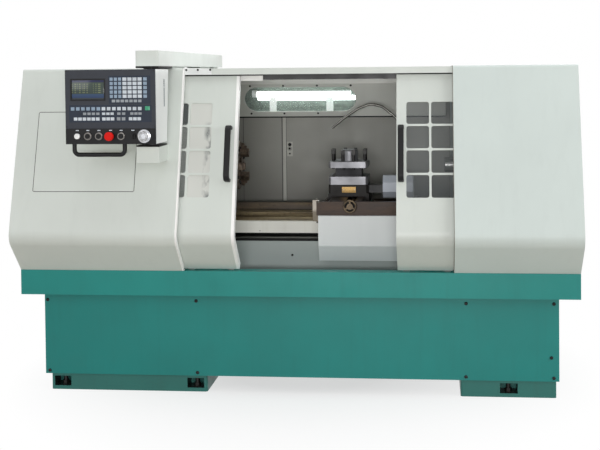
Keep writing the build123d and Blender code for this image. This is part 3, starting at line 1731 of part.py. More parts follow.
# Pendant case, a shell that the front panel closes, with bosses for the pivot pins
case_front_y = pendant_front_y + panel_thickness
case_outline = [
    (case_front_y, pendant_low_z),
    (case_front_y, pendant_high_z),
    (pendant_back_top_y, pendant_high_z),
    (pendant_back_low_y, pendant_low_z),
]
with BuildPart() as pendant_case:
    with BuildSketch(across(pendant_low_x)):
        with BuildLine():
            Polyline(*case_outline, close=True)
        make_face()
    extrude(amount=pendant_width)
    with BuildSketch(across(pendant_low_x + sheet)):
        with BuildLine():
            Polyline(*case_outline, close=True)
        make_face()
        offset(amount=-sheet, kind=Kind.INTERSECTION)
    extrude(amount=pendant_width - 2 * sheet, mode=Mode.SUBTRACT)
    block(
        (pendant_low_x + sheet, case_front_y - overrun, pendant_low_z + sheet),
        (pendant_high_x - sheet, case_front_y + 2 * sheet, pendant_high_z - sheet),
        Mode.SUBTRACT,
    )
    with BuildSketch(Plane.XY.offset(pendant_low_z)):
        with Locations((pivot_x, pivot_y)):
            Circle(pin_boss_radius)
    extrude(amount=pin_boss_height)
    with BuildSketch(Plane.XY.offset(pendant_high_z)):
        with Locations((pivot_x, pivot_y)):
            Circle(pin_boss_radius)
    extrude(amount=-pin_boss_height)
    with BuildSketch(Plane.XY.offset(pendant_low_z - overrun)):
        with Locations((pivot_x, pivot_y)):
            Circle(pin_radius + running_gap)
    extrude(amount=pendant_height + 2 * overrun, mode=Mode.SUBTRACT)
    for index in range(louvre_count):
        slot_z = louvre_low_z + index * louvre_pitch
        block(
            (pendant_high_x - 2 * sheet, louvre_y - louvre_length / 2, slot_z),
            (pendant_high_x + overrun, louvre_y + louvre_length / 2, slot_z + louvre_height),
            Mode.SUBTRACT,
        )
keep(pendant_case, "pendant_case")

# Front panel of the pendant, with the screen recess, button rings and operator holes
button_places = [(power_x, power_radius), *[(x, push_radius) for x in push_xs]]
shaft_places = [(stop_x, stop_stem_radius), (selector_x, pulse_stem_radius), (pulse_x, pulse_stem_radius)]
with BuildPart() as pendant_panel:
    block((pendant_low_x, pendant_front_y, pendant_low_z), (pendant_high_x, case_front_y, pendant_high_z))
    block(
        (pendant_low_x - overrun, pendant_front_y - overrun, panel_split_z - panel_groove / 2),
        (pendant_high_x + overrun, pendant_front_y + panel_groove_depth, panel_split_z + panel_groove / 2),
        Mode.SUBTRACT,
    )
    with BuildSketch(front(pendant_front_y)):
        with Locations(((screen_low_x + screen_high_x) / 2, (screen_low_z + screen_high_z) / 2)):
            RectangleRounded(screen_high_x - screen_low_x, screen_high_z - screen_low_z, screen_radius)
    extrude(amount=-screen_recess, mode=Mode.SUBTRACT)
    with BuildSketch(front(pendant_front_y)):
        with Locations(*[(x, operator_z) for x in push_xs]):
            Circle(push_ring_radius)
    extrude(amount=push_ring_height)
    with BuildSketch(front(case_front_y)):
        for x, radius in button_places + shaft_places:
            with Locations((x, operator_z)):
                Circle(radius + operator_gap)
    extrude(amount=panel_thickness + push_ring_height + overrun, mode=Mode.SUBTRACT)
keep(pendant_panel, "pendant_panel")

# Buttons, stop button, selector and pulse wheel, each with a stem through the panel
stem_back_y = pendant_front_y + operator_depth


def make_button(x, radius, height):
    """Plain round button with its stem."""
    with BuildPart() as button:
        with BuildSketch(front(stem_back_y)):
            with Locations((x, operator_z)):
                Circle(radius)
        extrude(amount=operator_depth + height)
        fillet(button.edges().group_by(Axis.Y)[0], radius / 8)
    return button


power_button = make_button(power_x, power_radius, power_height)
keep(power_button, "power_button")
for number, x in enumerate(push_xs, start=1):
    push_button = make_button(x, push_radius, push_height)
    keep(push_button, f"push_button_{number}")

with BuildPart() as stop_button:
    with BuildSketch(front(stem_back_y)):
        with Locations((stop_x, operator_z)):
            Circle(stop_stem_radius)
    extrude(amount=operator_depth + stop_height - stop_head_height)
    with BuildSketch(front(pendant_front_y - stop_height + stop_head_height)):
        with Locations((stop_x, operator_z)):
            Circle(stop_head_radius)
    extrude(amount=stop_head_height)
    fillet(stop_button.edges().group_by(Axis.Y)[0], stop_head_height / 3)
keep(stop_button, "stop_button")

with BuildPart() as selector_knob:
    with BuildSketch(front(stem_back_y)):
        with Locations((selector_x, operator_z)):
            Circle(pulse_stem_radius)
    extrude(amount=operator_depth + running_gap)
    with BuildSketch(front(pendant_front_y - running_gap)):
        with Locations((selector_x, operator_z)):
            Circle(selector_radius)
    extrude(amount=selector_height / 2)
    with BuildSketch(front(pendant_front_y - selector_height / 2)):
        with Locations((selector_x, operator_z)):
            SlotOverall(2 * selector_radius - selector_grip / 2, selector_grip, rotation=90)
    extrude(amount=selector_height / 2)
keep(selector_knob, "selector_knob")

with BuildPart() as pulse_wheel:
    with BuildSketch(front(stem_back_y)):
        with Locations((pulse_x, operator_z)):
            Circle(pulse_stem_radius)
    extrude(amount=operator_depth + running_gap)
    with BuildSketch(front(pendant_front_y - running_gap)):
        with Locations((pulse_x, operator_z)):
            Circle(pulse_radius)
    extrude(amount=pulse_skirt)
    with BuildSketch(front(pendant_front_y - pulse_skirt)):
        with Locations((pulse_x, operator_z)):
            Circle(pulse_radius - pulse_skirt / 2)
    extrude(amount=pulse_height - pulse_skirt)
    fillet(pulse_wheel.edges().group_by(Axis.Y)[0], pulse_skirt / 4)
    with BuildSketch(front(pendant_front_y - pulse_height)):
        with Locations((pulse_x + pulse_radius / 2, operator_z + pulse_radius / 3)):
            Circle(pulse_knob_radius)
    extrude(amount=pulse_knob_height)
keep(pulse_wheel, "pulse_wheel")

# Pull handle under the pendant
grip_high_x = grip_low_x + grip_length
grip_bar_half = grip_bar / 2
with BuildPart() as pendant_handle:
    with BuildLine():
        FilletPolyline(
            (grip_low_x + grip_bar_half, grip_y, pendant_low_z),
            (grip_low_x + grip_bar_half, grip_y, pendant_low_z - grip_drop + grip_bar_half),
            (grip_high_x - grip_bar_half, grip_y, pendant_low_z - grip_drop + grip_bar_half),
            (grip_high_x - grip_bar_half, grip_y, pendant_low_z),
            radius=grip_bend,
        )
    with BuildSketch(Plane.XY.offset(pendant_low_z)):
        with Locations((grip_low_x + grip_bar_half, grip_y)):
            Circle(grip_bar_half)
    sweep()
keep(pendant_handle, "pendant_handle")

# Arm over the headstock cover and the bracket below the pendant, each with a pivot pin
arm_high_x = arm_low_x + arm_width
arm_mid_x = (arm_low_x + arm_high_x) / 2
arm_high_z = arm_low_z + arm_height
cable_rear_y = cover_rear_y - arm_pad_inset - arm_pad_length / 4
with BuildPart() as pendant_arm:
    block((arm_low_x, arm_front_y, arm_low_z), (arm_high_x, arm_rear_y, arm_high_z))
    fillet(pendant_arm.edges().filter_by(Axis.Z), arm_radius)
    block(
        (arm_low_x + sheet, arm_front_y + 2 * arm_radius, arm_low_z + sheet),
        (arm_high_x - sheet, arm_rear_y - 2 * arm_radius, arm_high_z - sheet),
        Mode.SUBTRACT,
    )
    for y, seat_z, length in (
        (top_edge_y + arm_pad_inset, cover_top_z, arm_pad_length),
        (cover_rear_y - arm_pad_inset - arm_pad_length, cover_top_z, arm_pad_length),
        (arm_rear_y - arm_pad_inset - arm_end_pad_length, cabinet_top_z, arm_end_pad_length),
    ):
        block(
            (arm_mid_x - arm_pad_width / 2, y, seat_z),
            (arm_mid_x + arm_pad_width / 2, y + length, arm_low_z + sheet / 2),
        )
    block(
        (arm_mid_x - arm_pad_width / 4, cable_rear_y - arm_pad_length / 4, arm_low_z - overrun),
        (arm_mid_x + arm_pad_width / 4, cable_rear_y, arm_low_z + 2 * sheet),
        Mode.SUBTRACT,
    )
    with BuildSketch(Plane.XY.offset(pendant_high_z + collar_gap)):
        with Locations((pivot_x, pivot_y)):
            Circle(collar_radius)
    extrude(amount=arm_low_z + sheet / 2 - pendant_high_z - collar_gap)
    with BuildSketch(Plane.XY.offset(pendant_high_z - pin_length)):
        with Locations((pivot_x, pivot_y)):
            Circle(pin_radius)
    extrude(amount=pin_length + 2 * collar_gap)
keep(pendant_arm, "pendant_arm")

with BuildPart() as pendant_bracket:
    with BuildSketch(across(arm_low_x)):
        with BuildLine():
            Polyline(
                (arm_front_y, bracket_box_low_z),
                (arm_front_y, bracket_box_high_z),
                (face_y(bracket_box_high_z), bracket_box_high_z),
                (face_y(bracket_box_low_z), bracket_box_low_z),
                close=True,
            )
        make_face()
    extrude(amount=arm_width)
    with BuildSketch(Plane.XY.offset(bracket_box_high_z)):
        with Locations((pivot_x, pivot_y)):
            Circle(collar_radius)
    extrude(amount=pendant_low_z - collar_gap - bracket_box_high_z)
    with BuildSketch(Plane.XY.offset(bracket_box_high_z)):
        with Locations((pivot_x, pivot_y)):
            Circle(pin_radius)
    extrude(amount=pendant_low_z + pin_length - bracket_box_high_z)
keep(pendant_bracket, "pendant_bracket")

# Electrical cabinet on the back of the headstock cover
cabinet_high_x = cabinet_low_x + cabinet_width
cabinet_mid_x = (cabinet_low_x + cabinet_high_x) / 2
cabinet_rear_y = cover_rear_y + cabinet_depth
lid_rear_y = cabinet_rear_y + cabinet_lid
with BuildPart() as electrical_cabinet:
    block((cabinet_low_x, cover_rear_y, cabinet_low_z), (cabinet_high_x, cabinet_rear_y, cabinet_top_z))
    block(
        (cabinet_low_x + sheet, cover_rear_y - overrun, cabinet_low_z + sheet),
        (cabinet_high_x - sheet, cabinet_rear_y - sheet, cabinet_top_z - sheet),
        Mode.SUBTRACT,
    )
    block(
        (cabinet_low_x + cabinet_lid_inset, cabinet_rear_y - sheet, cabinet_low_z + cabinet_lid_inset),
        (cabinet_high_x - cabinet_lid_inset, lid_rear_y, cabinet_top_z - cabinet_lid_inset),
    )
    fillet(electrical_cabinet.edges().group_by(Axis.Y)[-1], cabinet_lid / 3)
    latch_x = cabinet_low_x + 2 * cabinet_lid_inset
    with BuildSketch(front(lid_rear_y)):
        with Locations(
            (latch_x, cabinet_low_z + 4 * cabinet_lid_inset), (latch_x, cabinet_top_z - 4 * cabinet_lid_inset)
        ):
            Circle(cabinet_latch_radius)
    extrude(amount=-cabinet_latch_height)
    for index in range(cabinet_slot_count):
        slot_z = cabinet_low_z + 3 * cabinet_lid_inset + index * cabinet_slot_pitch
        block(
            (cabinet_mid_x - cabinet_slot_length / 2, cabinet_rear_y - overrun, slot_z),
            (cabinet_mid_x + cabinet_slot_length / 2, lid_rear_y + overrun, slot_z + cabinet_slot_height),
            Mode.SUBTRACT,
        )
keep(electrical_cabinet, "electrical_cabinet")
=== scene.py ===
import math

import bmesh
import bpy
from mathutils import Matrix, Vector


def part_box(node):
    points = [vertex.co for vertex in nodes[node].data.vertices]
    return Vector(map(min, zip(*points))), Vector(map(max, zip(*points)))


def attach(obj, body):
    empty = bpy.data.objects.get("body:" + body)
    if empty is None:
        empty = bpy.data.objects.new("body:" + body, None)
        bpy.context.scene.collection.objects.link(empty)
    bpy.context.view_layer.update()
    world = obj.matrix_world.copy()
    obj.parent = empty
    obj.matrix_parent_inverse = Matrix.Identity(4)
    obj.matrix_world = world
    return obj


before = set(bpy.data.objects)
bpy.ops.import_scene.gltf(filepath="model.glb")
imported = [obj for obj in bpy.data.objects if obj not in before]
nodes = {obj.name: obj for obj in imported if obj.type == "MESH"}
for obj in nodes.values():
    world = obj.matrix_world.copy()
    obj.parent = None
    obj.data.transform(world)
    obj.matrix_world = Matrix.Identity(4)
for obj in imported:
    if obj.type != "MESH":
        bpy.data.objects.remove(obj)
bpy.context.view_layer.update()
scene = bpy.context.scene
print("frame loaded,", len(nodes), "nodes")


# colours are written as they look on screen, 0 to 255
def colour(red, green, blue):
    parts = [value / 255 for value in (red, green, blue)]
    linear = [p / 12.92 if p <= 0.04045 else ((p + 0.055) / 1.055) ** 2.4 for p in parts]
    return (*linear, 1.0)


def setInputs(node, **values):
    for socket, value in values.items():
        node.inputs[socket.replace("_", " ")].default_value = value


# finishes: each is put on the nodes that wear it, pieces ask for it by name
def startFinish(name, worn="", metallic=0.0, roughness=0.5, **others):
    finish = bpy.data.materials.new(name)
    finish.use_nodes = True
    tree = finish.node_tree
    shader = tree.nodes["Principled BSDF"]
    setInputs(shader, Metallic=metallic, Roughness=roughness, **others)
    for node in worn.split():
        coats = nodes[node].data.materials
        if not coats:
            coats.append(finish)
        for index in range(len(coats)):
            coats[index] = finish
    return shader, tree.nodes.new("ShaderNodeTexCoord").outputs["Object"]


# helpers that join shader nodes or add one
def wire(source, node, socket):
    source.id_data.links.new(source, node.inputs[socket])


def stretched(place, scale):
    mapping = place.id_data.nodes.new("ShaderNodeMapping")
    setInputs(mapping, Scale=scale)
    wire(place, mapping, "Vector")
    return mapping.outputs["Vector"]


def cloud(place, scale, detail=3.0, rough=0.55):
    noise = place.id_data.nodes.new("ShaderNodeTexNoise")
    setInputs(noise, Scale=scale, Detail=detail, Roughness=rough)
    wire(place, noise, "Vector")
    return noise.outputs["Fac"]


def shades(amount, stops):
    ramp = amount.id_data.nodes.new("ShaderNodeValToRGB")
    band = ramp.color_ramp
    while len(band.elements) < len(stops):
        band.elements.new(0.5)
    for element, (position, shade) in zip(band.elements, stops):
        element.position = position
        element.color = shade
    wire(amount, ramp, "Fac")
    return ramp.outputs["Color"]


def spread(amount, low, high, start=0.3, end=0.7):
    span = amount.id_data.nodes.new("ShaderNodeMapRange")
    setInputs(span, From_Min=start, From_Max=end, To_Min=low, To_Max=high)
    wire(amount, span, "Value")
    return span.outputs["Result"]


def mixed(amount, first, second):
    mix = amount.id_data.nodes.new("ShaderNodeMix")
    mix.data_type = "RGBA"
    for socket, value in ((0, amount), (6, first), (7, second)):
        if isinstance(value, tuple):
            mix.inputs[socket].default_value = value
        else:
            wire(value, mix, socket)
    return mix.outputs[2]


def relief(shader, heights):
    normal = None
    for height, depth in heights:  # depth in metres
        bump = height.id_data.nodes.new("ShaderNodeBump")
        setInputs(bump, Strength=1.0, Distance=depth)
        wire(height, bump, "Height")
        if normal is not None:
            wire(normal, bump, "Normal")
        normal = bump.outputs["Normal"]
    wire(normal, shader, "Normal")


def combined(first, second, operation="MULTIPLY"):
    step = first.id_data.nodes.new("ShaderNodeMath")
    step.operation = operation
    wire(first, step, 0)
    wire(second, step, 1)
    return step.outputs[0]


def within(place, limits):
    # one past every limit: axis, where it starts and where it is full, in metres
    split = place.id_data.nodes.new("ShaderNodeSeparateXYZ")
    wire(place, split, 0)
    mask = None
    for axis, start, full in limits:
        step = spread(split.outputs[axis], 0.0, 1.0, start, full)
        mask = step if mask is None else combined(mask, step)
    return mask


def patched(place, coat, patches):
    for shade, limits in patches:
        coat = mixed(within(place, limits), coat, shade)
    return coat


def dimmed(shade, share):
    return (*[part * share for part in shade[:3]], 1.0)


def paintFinish(name, shade, soft=0.42, mottle=0.05, peel=0.00006, grime=None, patches=(), worn=""):
    shader, place = startFinish(name, worn, Specular_IOR_Level=0.45)
    broad = cloud(place, 2.3, 4.0)
    coat = shades(broad, [(0.3, dimmed(shade, 1 - mottle)), (0.7, dimmed(shade, 1 + mottle))])
    streak = cloud(stretched(place, (26, 26, 1.6)), 1.0, 5.0)
    stained = grime or dimmed(shade, 0.8)
    coat = mixed(spread(streak, 0.0, 0.16, 0.52, 0.8), coat, stained)
    coat = patched(place, coat, patches)
    wire(coat, shader, "Base Color")
    dull = cloud(place, 11, 4.0)
    wire(spread(dull, soft - 0.07, soft + 0.09), shader, "Roughness")
    waviness = 0.0006
    relief(shader, [(cloud(place, 420, 2.0), peel), (cloud(place, 5, 2.0), waviness)])


def ironFinish(name, dark, middle, light, along=(3, 40, 40), soft=0.4, metallic=0.55, patches=(), worn=""):
    shader, place = startFinish(name, worn, metallic)
    film = cloud(stretched(place, along), 1.0, 6.0, 0.62)
    oil = shades(film, [(0.3, dark), (0.5, middle), (0.72, light)])
    spots = cloud(place, 75, 5.0, 0.7)
    oil = mixed(spread(spots, 0.0, 0.7, 0.56, 0.7), oil, dimmed(dark, 0.8))
    oil = patched(place, oil, patches)
    wire(oil, shader, "Base Color")
    wire(spread(film, soft - 0.12, soft + 0.15), shader, "Roughness")
    ground = cloud(stretched(place, [20 * scale for scale in along]), 1.0, 3.0)
    relief(shader, [(ground, 0.00008), (spots, 0.00012)])


def machinedFinish(name, shade, soft=0.32, along=(900, 900, 30), vary=0.12, metallic=1.0, patches=(),
                   worn=""):
    shader, place = startFinish(name, worn, metallic)
    lines = cloud(stretched(place, along), 1.0, 4.0, 0.6)
    smudge = cloud(place, 9, 4.0)
    steel = shades(lines, [(0.3, dimmed(shade, 1 - vary)), (0.7, dimmed(shade, 1 + vary))])
    steel = mixed(spread(smudge, 0.0, 0.35, 0.5, 0.75), steel, dimmed(shade, 0.62))
    steel = patched(place, steel, patches)
    wire(steel, shader, "Base Color")
    wire(spread(smudge, soft - 0.08, soft + 0.14), shader, "Roughness")
    relief(shader, [(lines, 0.00003)])


def plasticFinish(name, shade, soft=0.45, texture=1300, depth=0.00004, coat=0.0, gloss=0.5, worn=""):
    shader, place = startFinish(name, worn, Coat_Weight=coat, Specular_IOR_Level=gloss)
    cloudy = cloud(place, 30, 3.0)
    body = shades(cloudy, [(0.3, dimmed(shade, 0.9)), (0.7, dimmed(shade, 1.1))])
    wire(body, shader, "Base Color")
    wire(spread(cloudy, soft - 0.06, soft + 0.08), shader, "Roughness")
    relief(shader, [(cloud(place, texture, 2.0), depth)])


def glassFinish(name, shade, veil, soft=0.03, filmed=None, worn=""):
    # thin sheet: light passes straight, veil is the share that the glass holds back
    shader, place = startFinish(name, worn, IOR=1.45, Alpha=veil)
    film = cloud(place, 6, 5.0)
    coat = shades(film, [(0.3, dimmed(shade, 0.93)), (0.75, shade)])
    if filmed:
        # pale protective film, rubbed through in places towards its right edge
        filmShade, filmVeil, startX, wornX = filmed
        cover = within(place, [("X", startX, startX + 0.004)])
        holes = spread(cloud(stretched(place, (16, 16, 9)), 1.0, 3.0), 0.0, 0.9, 0.42, 0.6)
        rubbed = combined(within(place, [("X", wornX - 0.022, wornX), ("Z", 1.30, 1.24)]), holes)
        cover = mixed(rubbed, cover, (0.0, 0.0, 0.0, 1.0))
        coat = mixed(cover, coat, filmShade)
        wire(spread(cover, veil, filmVeil, 0.0, 1.0), shader, "Alpha")
    wire(coat, shader, "Base Color")
    wire(spread(film, soft, soft + 0.06), shader, "Roughness")


coverShade = colour(214, 220, 214)
# near white: a painted highlight on the right-facing edges of the left door and the headstock cover, where
# light falls from the right
litEdgeHighlight = colour(255, 255, 253)
bracketLow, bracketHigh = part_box("pendant_bracket")
bracketStep = bracketLow.z + 0.0725


def coverCoat(name, *patches, shade=coverShade, worn=""):
    paintFinish(name, shade, mottle=0.025, patches=patches, worn=worn)


coverCoat("coverPaint", worn="access_panel electrical_cabinet")
# the inside of the top cover behind its front lip is near black: painted shade under the roof
coverCoat("railPaint", (colour(17, 17, 16), [("Z", 1.5465, 1.5455), ("Y", -0.441, -0.439)]), worn="top_cover")
# the arm's underside is near black: painted shade of the gap under it
coverCoat("armPaint", (colour(16, 16, 16), [("Z", 1.5628, 1.5622), ("Y", -0.425, -0.435)]),
          worn="pendant_arm")
# the bracket is near black above bracketStep: painted shade of the gap under the pendant case
coverCoat("bracketPaint", (colour(24, 24, 24), [("Z", bracketStep, bracketStep + 0.001)]),
          worn="pendant_bracket")
# the doors' top flange and their shoes lie in shade
doorShades = [(colour(20, 20, 19), [("Z", 1.5135, 1.5142)]), (colour(104, 108, 105), [("Z", 0.6004, 0.5996)])]
# left door: painted highlight on its right edge
coverCoat("leftDoorPaint", (litEdgeHighlight, [("X", -0.2795, -0.2780)]), *doorShades, worn="left_door")
coverCoat("rightDoorPaint", *doorShades, worn="right_door")
# dark line along the tail cover's left edge: painted shade at its joint
coverCoat("tailPaint", (colour(112, 106, 94), [("X", 0.7455, 0.7448)]),
          shade=colour(208, 218, 214), worn="tail_cover")
# headstock cover: painted highlight on its right edge
coverCoat("headPaint", (litEdgeHighlight, [("X", -0.5345, -0.5330)]), worn="headstock_cover")
# lighter than the cover paint; on the pendant case the extra lightness is a painted highlight for the light
# from the right
paintFinish("edgePaint", colour(240, 243, 242), mottle=0.02, worn="pendant_case")
paintFinish("basePaint", colour(12, 134, 127), soft=0.36, mottle=0.08, grime=colour(16, 102, 99),
            worn="chip_tray")
paintFinish("panelPaint", colour(6, 126, 120), soft=0.4, mottle=0.08, grime=colour(14, 96, 93),
            worn="base_front_panel")
# painted shade inside the jack-bolt pockets in the front of the legs
pocketX = ((-1.189, -1.105), (-0.534, -0.450), (0.954, 1.038))
pocketShades = [(colour(20, 26, 25), [("X", low, low + 0.001), ("X", high, high - 0.001),
                                      ("Y", -0.4468, -0.4460), ("Y", -0.3640, -0.3650),
                                      ("Z", 0.0175, 0.0180), ("Z", 0.0665, 0.0660)])
                for low, high in pocketX]
paintFinish("legPaint", colour(38, 108, 100), mottle=0.1, grime=colour(52, 70, 62),
            patches=pocketShades, worn="left_leg right_leg")
# rear wall and rear door grow darker towards the bottom: painted shade
paintFinish("innerPaint", colour(178, 178, 171), soft=0.46,
            patches=[(colour(150, 148, 141), [("Z", 1.10, 0.84)])], worn="rear_wall rear_door")
paintFinish("postPaint", colour(214, 214, 206), soft=0.46, mottle=0.04)
# for the seam line on the rear wall, and the painted shadow beside the rear post
paintFinish("seamPaint", colour(104, 104, 100), soft=0.5, mottle=0.04)
paintFinish("linePaint", colour(58, 57, 52), soft=0.5, mottle=0.04)
# the lip along the lamp housing's top is lighter: a painted highlight
paintFinish("lampPaint", colour(226, 228, 222), mottle=0.03,
            patches=[(colour(246, 247, 242), [("Z", 1.4640, 1.4650)])], worn="lamp_housing")
paintFinish("creamPaint", colour(248, 247, 238), mottle=0.04, grime=colour(172, 160, 128), worn="screw_cover")
paintFinish("apronPaint", colour(222, 226, 226), mottle=0.02,
            patches=[(colour(186, 178, 166), [("X", 0.0985, 0.0978)]),
                     (colour(116, 106, 88), [("X", 0.0985, 0.0978), ("Z", 0.868, 0.852)])],
            worn="apron_cover")
paintFinish("guardPaint", colour(172, 180, 177), soft=0.5, worn="bed_guard")
paintFinish("darkPaint", colour(32, 29, 27), soft=0.64, mottle=0.16,
            worn="z_motor x_motor turret_base cross_slide")
paintFinish("motorPaint", colour(184, 190, 200), soft=0.4, worn="main_motor")
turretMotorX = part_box("turret_motor")[0].x + 0.0715
paintFinish("turretMotorPaint", colour(208, 214, 224), soft=0.4,
            patches=[(colour(24, 24, 25), [("X", turretMotorX, turretMotorX - 0.0005)])], worn="turret_motor")
paintFinish("castingPaint", colour(236, 237, 230), soft=0.48, peel=0.0002,
            worn="headstock_housing tailstock_body")
# the bed is near black low in its front screw channel: painted shade
ironFinish("slideOil", colour(84, 71, 54), colour(156, 138, 106), colour(204, 184, 144),
           patches=[(colour(13, 12, 11), [("Z", 0.7400, 0.7360), ("Y", -0.12, -0.13)])], worn="bed")
ironFinish("chuckOil", colour(64, 57, 50), colour(112, 98, 86), colour(156, 142, 126),
           along=(30, 30, 30), worn="chuck_body jaw_1 jaw_2 jaw_3")
ironFinish("wheelOil", colour(44, 36, 28), colour(88, 74, 56), colour(128, 112, 86),
           along=(60, 60, 60), worn="x_screw")
ironFinish("splashOil", colour(58, 54, 48), colour(104, 90, 74), colour(146, 128, 98),
           along=(2.2, 30, 26), soft=0.5, metallic=0.25)
ironFinish("saddleOil", colour(22, 16, 13), colour(46, 35, 28), colour(68, 54, 44),
           along=(5, 30, 30), worn="saddle")
machinedFinish("screwSteel", colour(104, 104, 100), soft=0.42, along=(1200, 60, 60), worn="z_screw")
machinedFinish("turnedSteel", colour(188, 188, 186), along=(1200, 60, 60),
               worn="spindle_bearings spindle motor_pulley quill")
machinedFinish("turretSteel", colour(150, 150, 154), soft=0.46, along=(20, 20, 900),
               metallic=0.6, patches=[(colour(30, 30, 32), [("Z", 1.0028, 1.0033), ("Z", 1.0473, 1.0468)])],
               worn="turret_head")
machinedFinish("pipeSteel", colour(122, 121, 116), soft=0.34, along=(40, 40, 40), worn="coolant_pipe")
machinedFinish("chromeSteel", colour(214, 216, 220), soft=0.16, along=(60, 60, 60), vary=0.05,
               worn="pulse_wheel")
machinedFinish("blackSteel", colour(42, 41, 40), soft=0.42, along=(200, 200, 200), metallic=0.6,
               worn="jack_bolts tool_bolts")
machinedFinish("zincSteel", colour(96, 106, 99), soft=0.46, along=(70, 70, 70), vary=0.45, metallic=0.35)
machinedFinish("ringSteel", colour(128, 124, 120), soft=0.3, along=(60, 60, 60), vary=0.2)
plasticFinish("handlePlastic", colour(13, 13, 14), soft=0.46, gloss=0.25,
              worn="left_door_handle right_door_handle pendant_handle "
                   "push_button_1 push_button_2 push_button_3 selector_knob")
plasticFinish("panelFilm", colour(54, 57, 64), soft=0.5, gloss=0.25, worn="pendant_panel")
plasticFinish("panelDarkFilm", colour(38, 46, 60), soft=0.42, gloss=0.25)
plasticFinish("stripFilm", colour(16, 16, 18), soft=0.48, gloss=0.25)
plasticFinish("stopPlastic", colour(222, 22, 12), soft=0.5, depth=0.00001, gloss=0.2, worn="stop_button")
plasticFinish("whitePlastic", colour(252, 253, 252), soft=0.3, depth=0.00001, coat=0.3, worn="power_button")
plasticFinish("keyPlastic", colour(206, 214, 222), soft=0.42)
plasticFinish("blueKeyPlastic", colour(140, 160, 180), soft=0.42)
plasticFinish("grayKeyPlastic", colour(150, 156, 162), soft=0.42)
plasticFinish("greenKeyPlastic", colour(52, 150, 112), soft=0.4)
plasticFinish("beltRubber", colour(32, 32, 32), soft=0.7, worn="drive_belts")
# near black rubber, also worn by dark pieces that stand in for shade: the strip under the lamp, the ring
# behind the handwheel, the pads under the pendant arm and the strip along the guard
plasticFinish("sealRubber", colour(14, 14, 14), soft=0.6, gloss=0.2)
glassFinish("doorGlass", colour(128, 134, 136), 0.18, worn="right_door_window")
glassFinish("filmedGlass", colour(150, 156, 158), 0.16, 0.12,
            filmed=(colour(222, 224, 218), 0.9, -0.498, -0.405), worn="left_door_window")
glassFinish("lampGlass", colour(226, 238, 232), 0.10, worn="lamp_lens")
machinedFinish("brassPlate", colour(186, 152, 96), soft=0.42, along=(260, 30, 120), vary=0.3, metallic=0.7)
lampGlow = 6.5


def lampFinish():
    # only the glass of the tube glows, not its end caps and clips
    shader, place = startFinish("tubeGlow", "lamp_tube", roughness=0.3, Emission_Strength=lampGlow)
    warm = cloud(stretched(place, (2, 8, 8)), 1.0, 2.0)
    glow = shades(warm, [(0.3, colour(238, 250, 246)), (0.7, colour(255, 255, 255))])
    low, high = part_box("lamp_tube")
    capEnd, tubeWide, glassTop, unlit = 0.026, 0.037, 1.4205, (0.02, 0.02, 0.02, 1.0)
    glass = within(place, [("Z", high.z - tubeWide - 0.002, high.z - tubeWide),
                           ("Z", glassTop + 0.0035, glassTop), ("X", low.x + capEnd, low.x + capEnd + 0.001)])
    wire(glow, shader, "Base Color")
    wire(mixed(glass, unlit, glow), shader, "Emission Color")


def screenFinish():
    # a plain page: bar on top, rows of marks, a blue band at the foot
    shader, place = startFinish("screenPicture", roughness=0.12, Emission_Strength=0.14)
    low, high = 1.414, 1.502
    level = within(place, [("Z", low, high)])
    ground = shades(level, [(0.06, colour(44, 52, 56)), (0.1, colour(30, 54, 92)),
                            (0.26, colour(42, 68, 100)), (0.3, colour(46, 60, 54)),
                            (0.86, colour(54, 68, 60)), (0.9, colour(24, 30, 70))])
    marks = cloud(stretched(place, (170, 1, 4)), 1.0, 1.0)
    wave = place.id_data.nodes.new("ShaderNodeTexWave")
    wave.bands_direction = "Z"
    setInputs(wave, Scale=34.0, Distortion=0.0)
    wire(place, wave, "Vector")
    lines = spread(wave.outputs["Fac"], 0.0, 1.0, 0.6, 0.8)
    written = combined(spread(marks, 0.0, 0.7, 0.5, 0.56), lines)
    page = within(place, [("Z", low + 0.028, low + 0.03), ("Z", high - 0.012, high - 0.014),
                          ("X", -0.838, -0.842)])
    picture = mixed(combined(written, page), ground, colour(136, 146, 104))
    wire(picture, shader, "Base Color")
    wire(picture, shader, "Emission Color")


lampFinish()
screenFinish()
startFinish("lowGlow", Emission_Color=colour(244, 252, 250), Emission_Strength=lampGlow)
print("finishes made and put on the nodes")


# plain mesh helpers
def slab(shape, low, high, bevel=0.0, segments=2):
    made = bmesh.ops.create_cube(shape, size=1.0)
    middle = (Vector(low) + Vector(high)) / 2
    size = Vector(high) - Vector(low)
    for vert in made["verts"]:
        vert.co = Vector(a * b for a, b in zip(vert.co, size)) + middle
    if bevel:
        edges = {edge for vert in made["verts"] for edge in vert.link_edges}
        bmesh.ops.bevel(shape, geom=list(edges), offset=bevel, segments=segments, affect="EDGES", profile=0.6)


def turned(shape, profile, centre, axis, count=40, loop=False):
    # profile holds (radius, height along axis); its ends lie on the axis, are capped, or meet in a loop
    turn = Vector((0, 0, 1)).rotation_difference(Vector(axis)).to_matrix().to_4x4()
    placing = Matrix.Translation(Vector(centre)) @ turn
    rings = []
    for radius, height in profile:
        ring = []
        for step in range(count if radius > 0 else 1):
            angle = 2 * math.pi * step / count
            spot = Vector((radius * math.cos(angle), radius * math.sin(angle), height))
            ring.append(shape.verts.new(placing @ spot))
        rings.append(ring)
    for lower, upper in zip(rings, rings[1:] + rings[:1] if loop else rings[1:]):
        for step in range(count):
            after = (step + 1) % count
            if len(lower) == 1:
                shape.faces.new((lower[0], upper[after], upper[step]))
            elif len(upper) == 1:
                shape.faces.new((lower[step], lower[after], upper[0]))
            else:
                shape.faces.new((lower[step], lower[after], upper[after], upper[step]))
    for ring, flip in ((rings[0], True), (rings[-1], False)):
        if len(ring) > 1 and not loop:
            shape.faces.new(ring[::-1] if flip else ring)


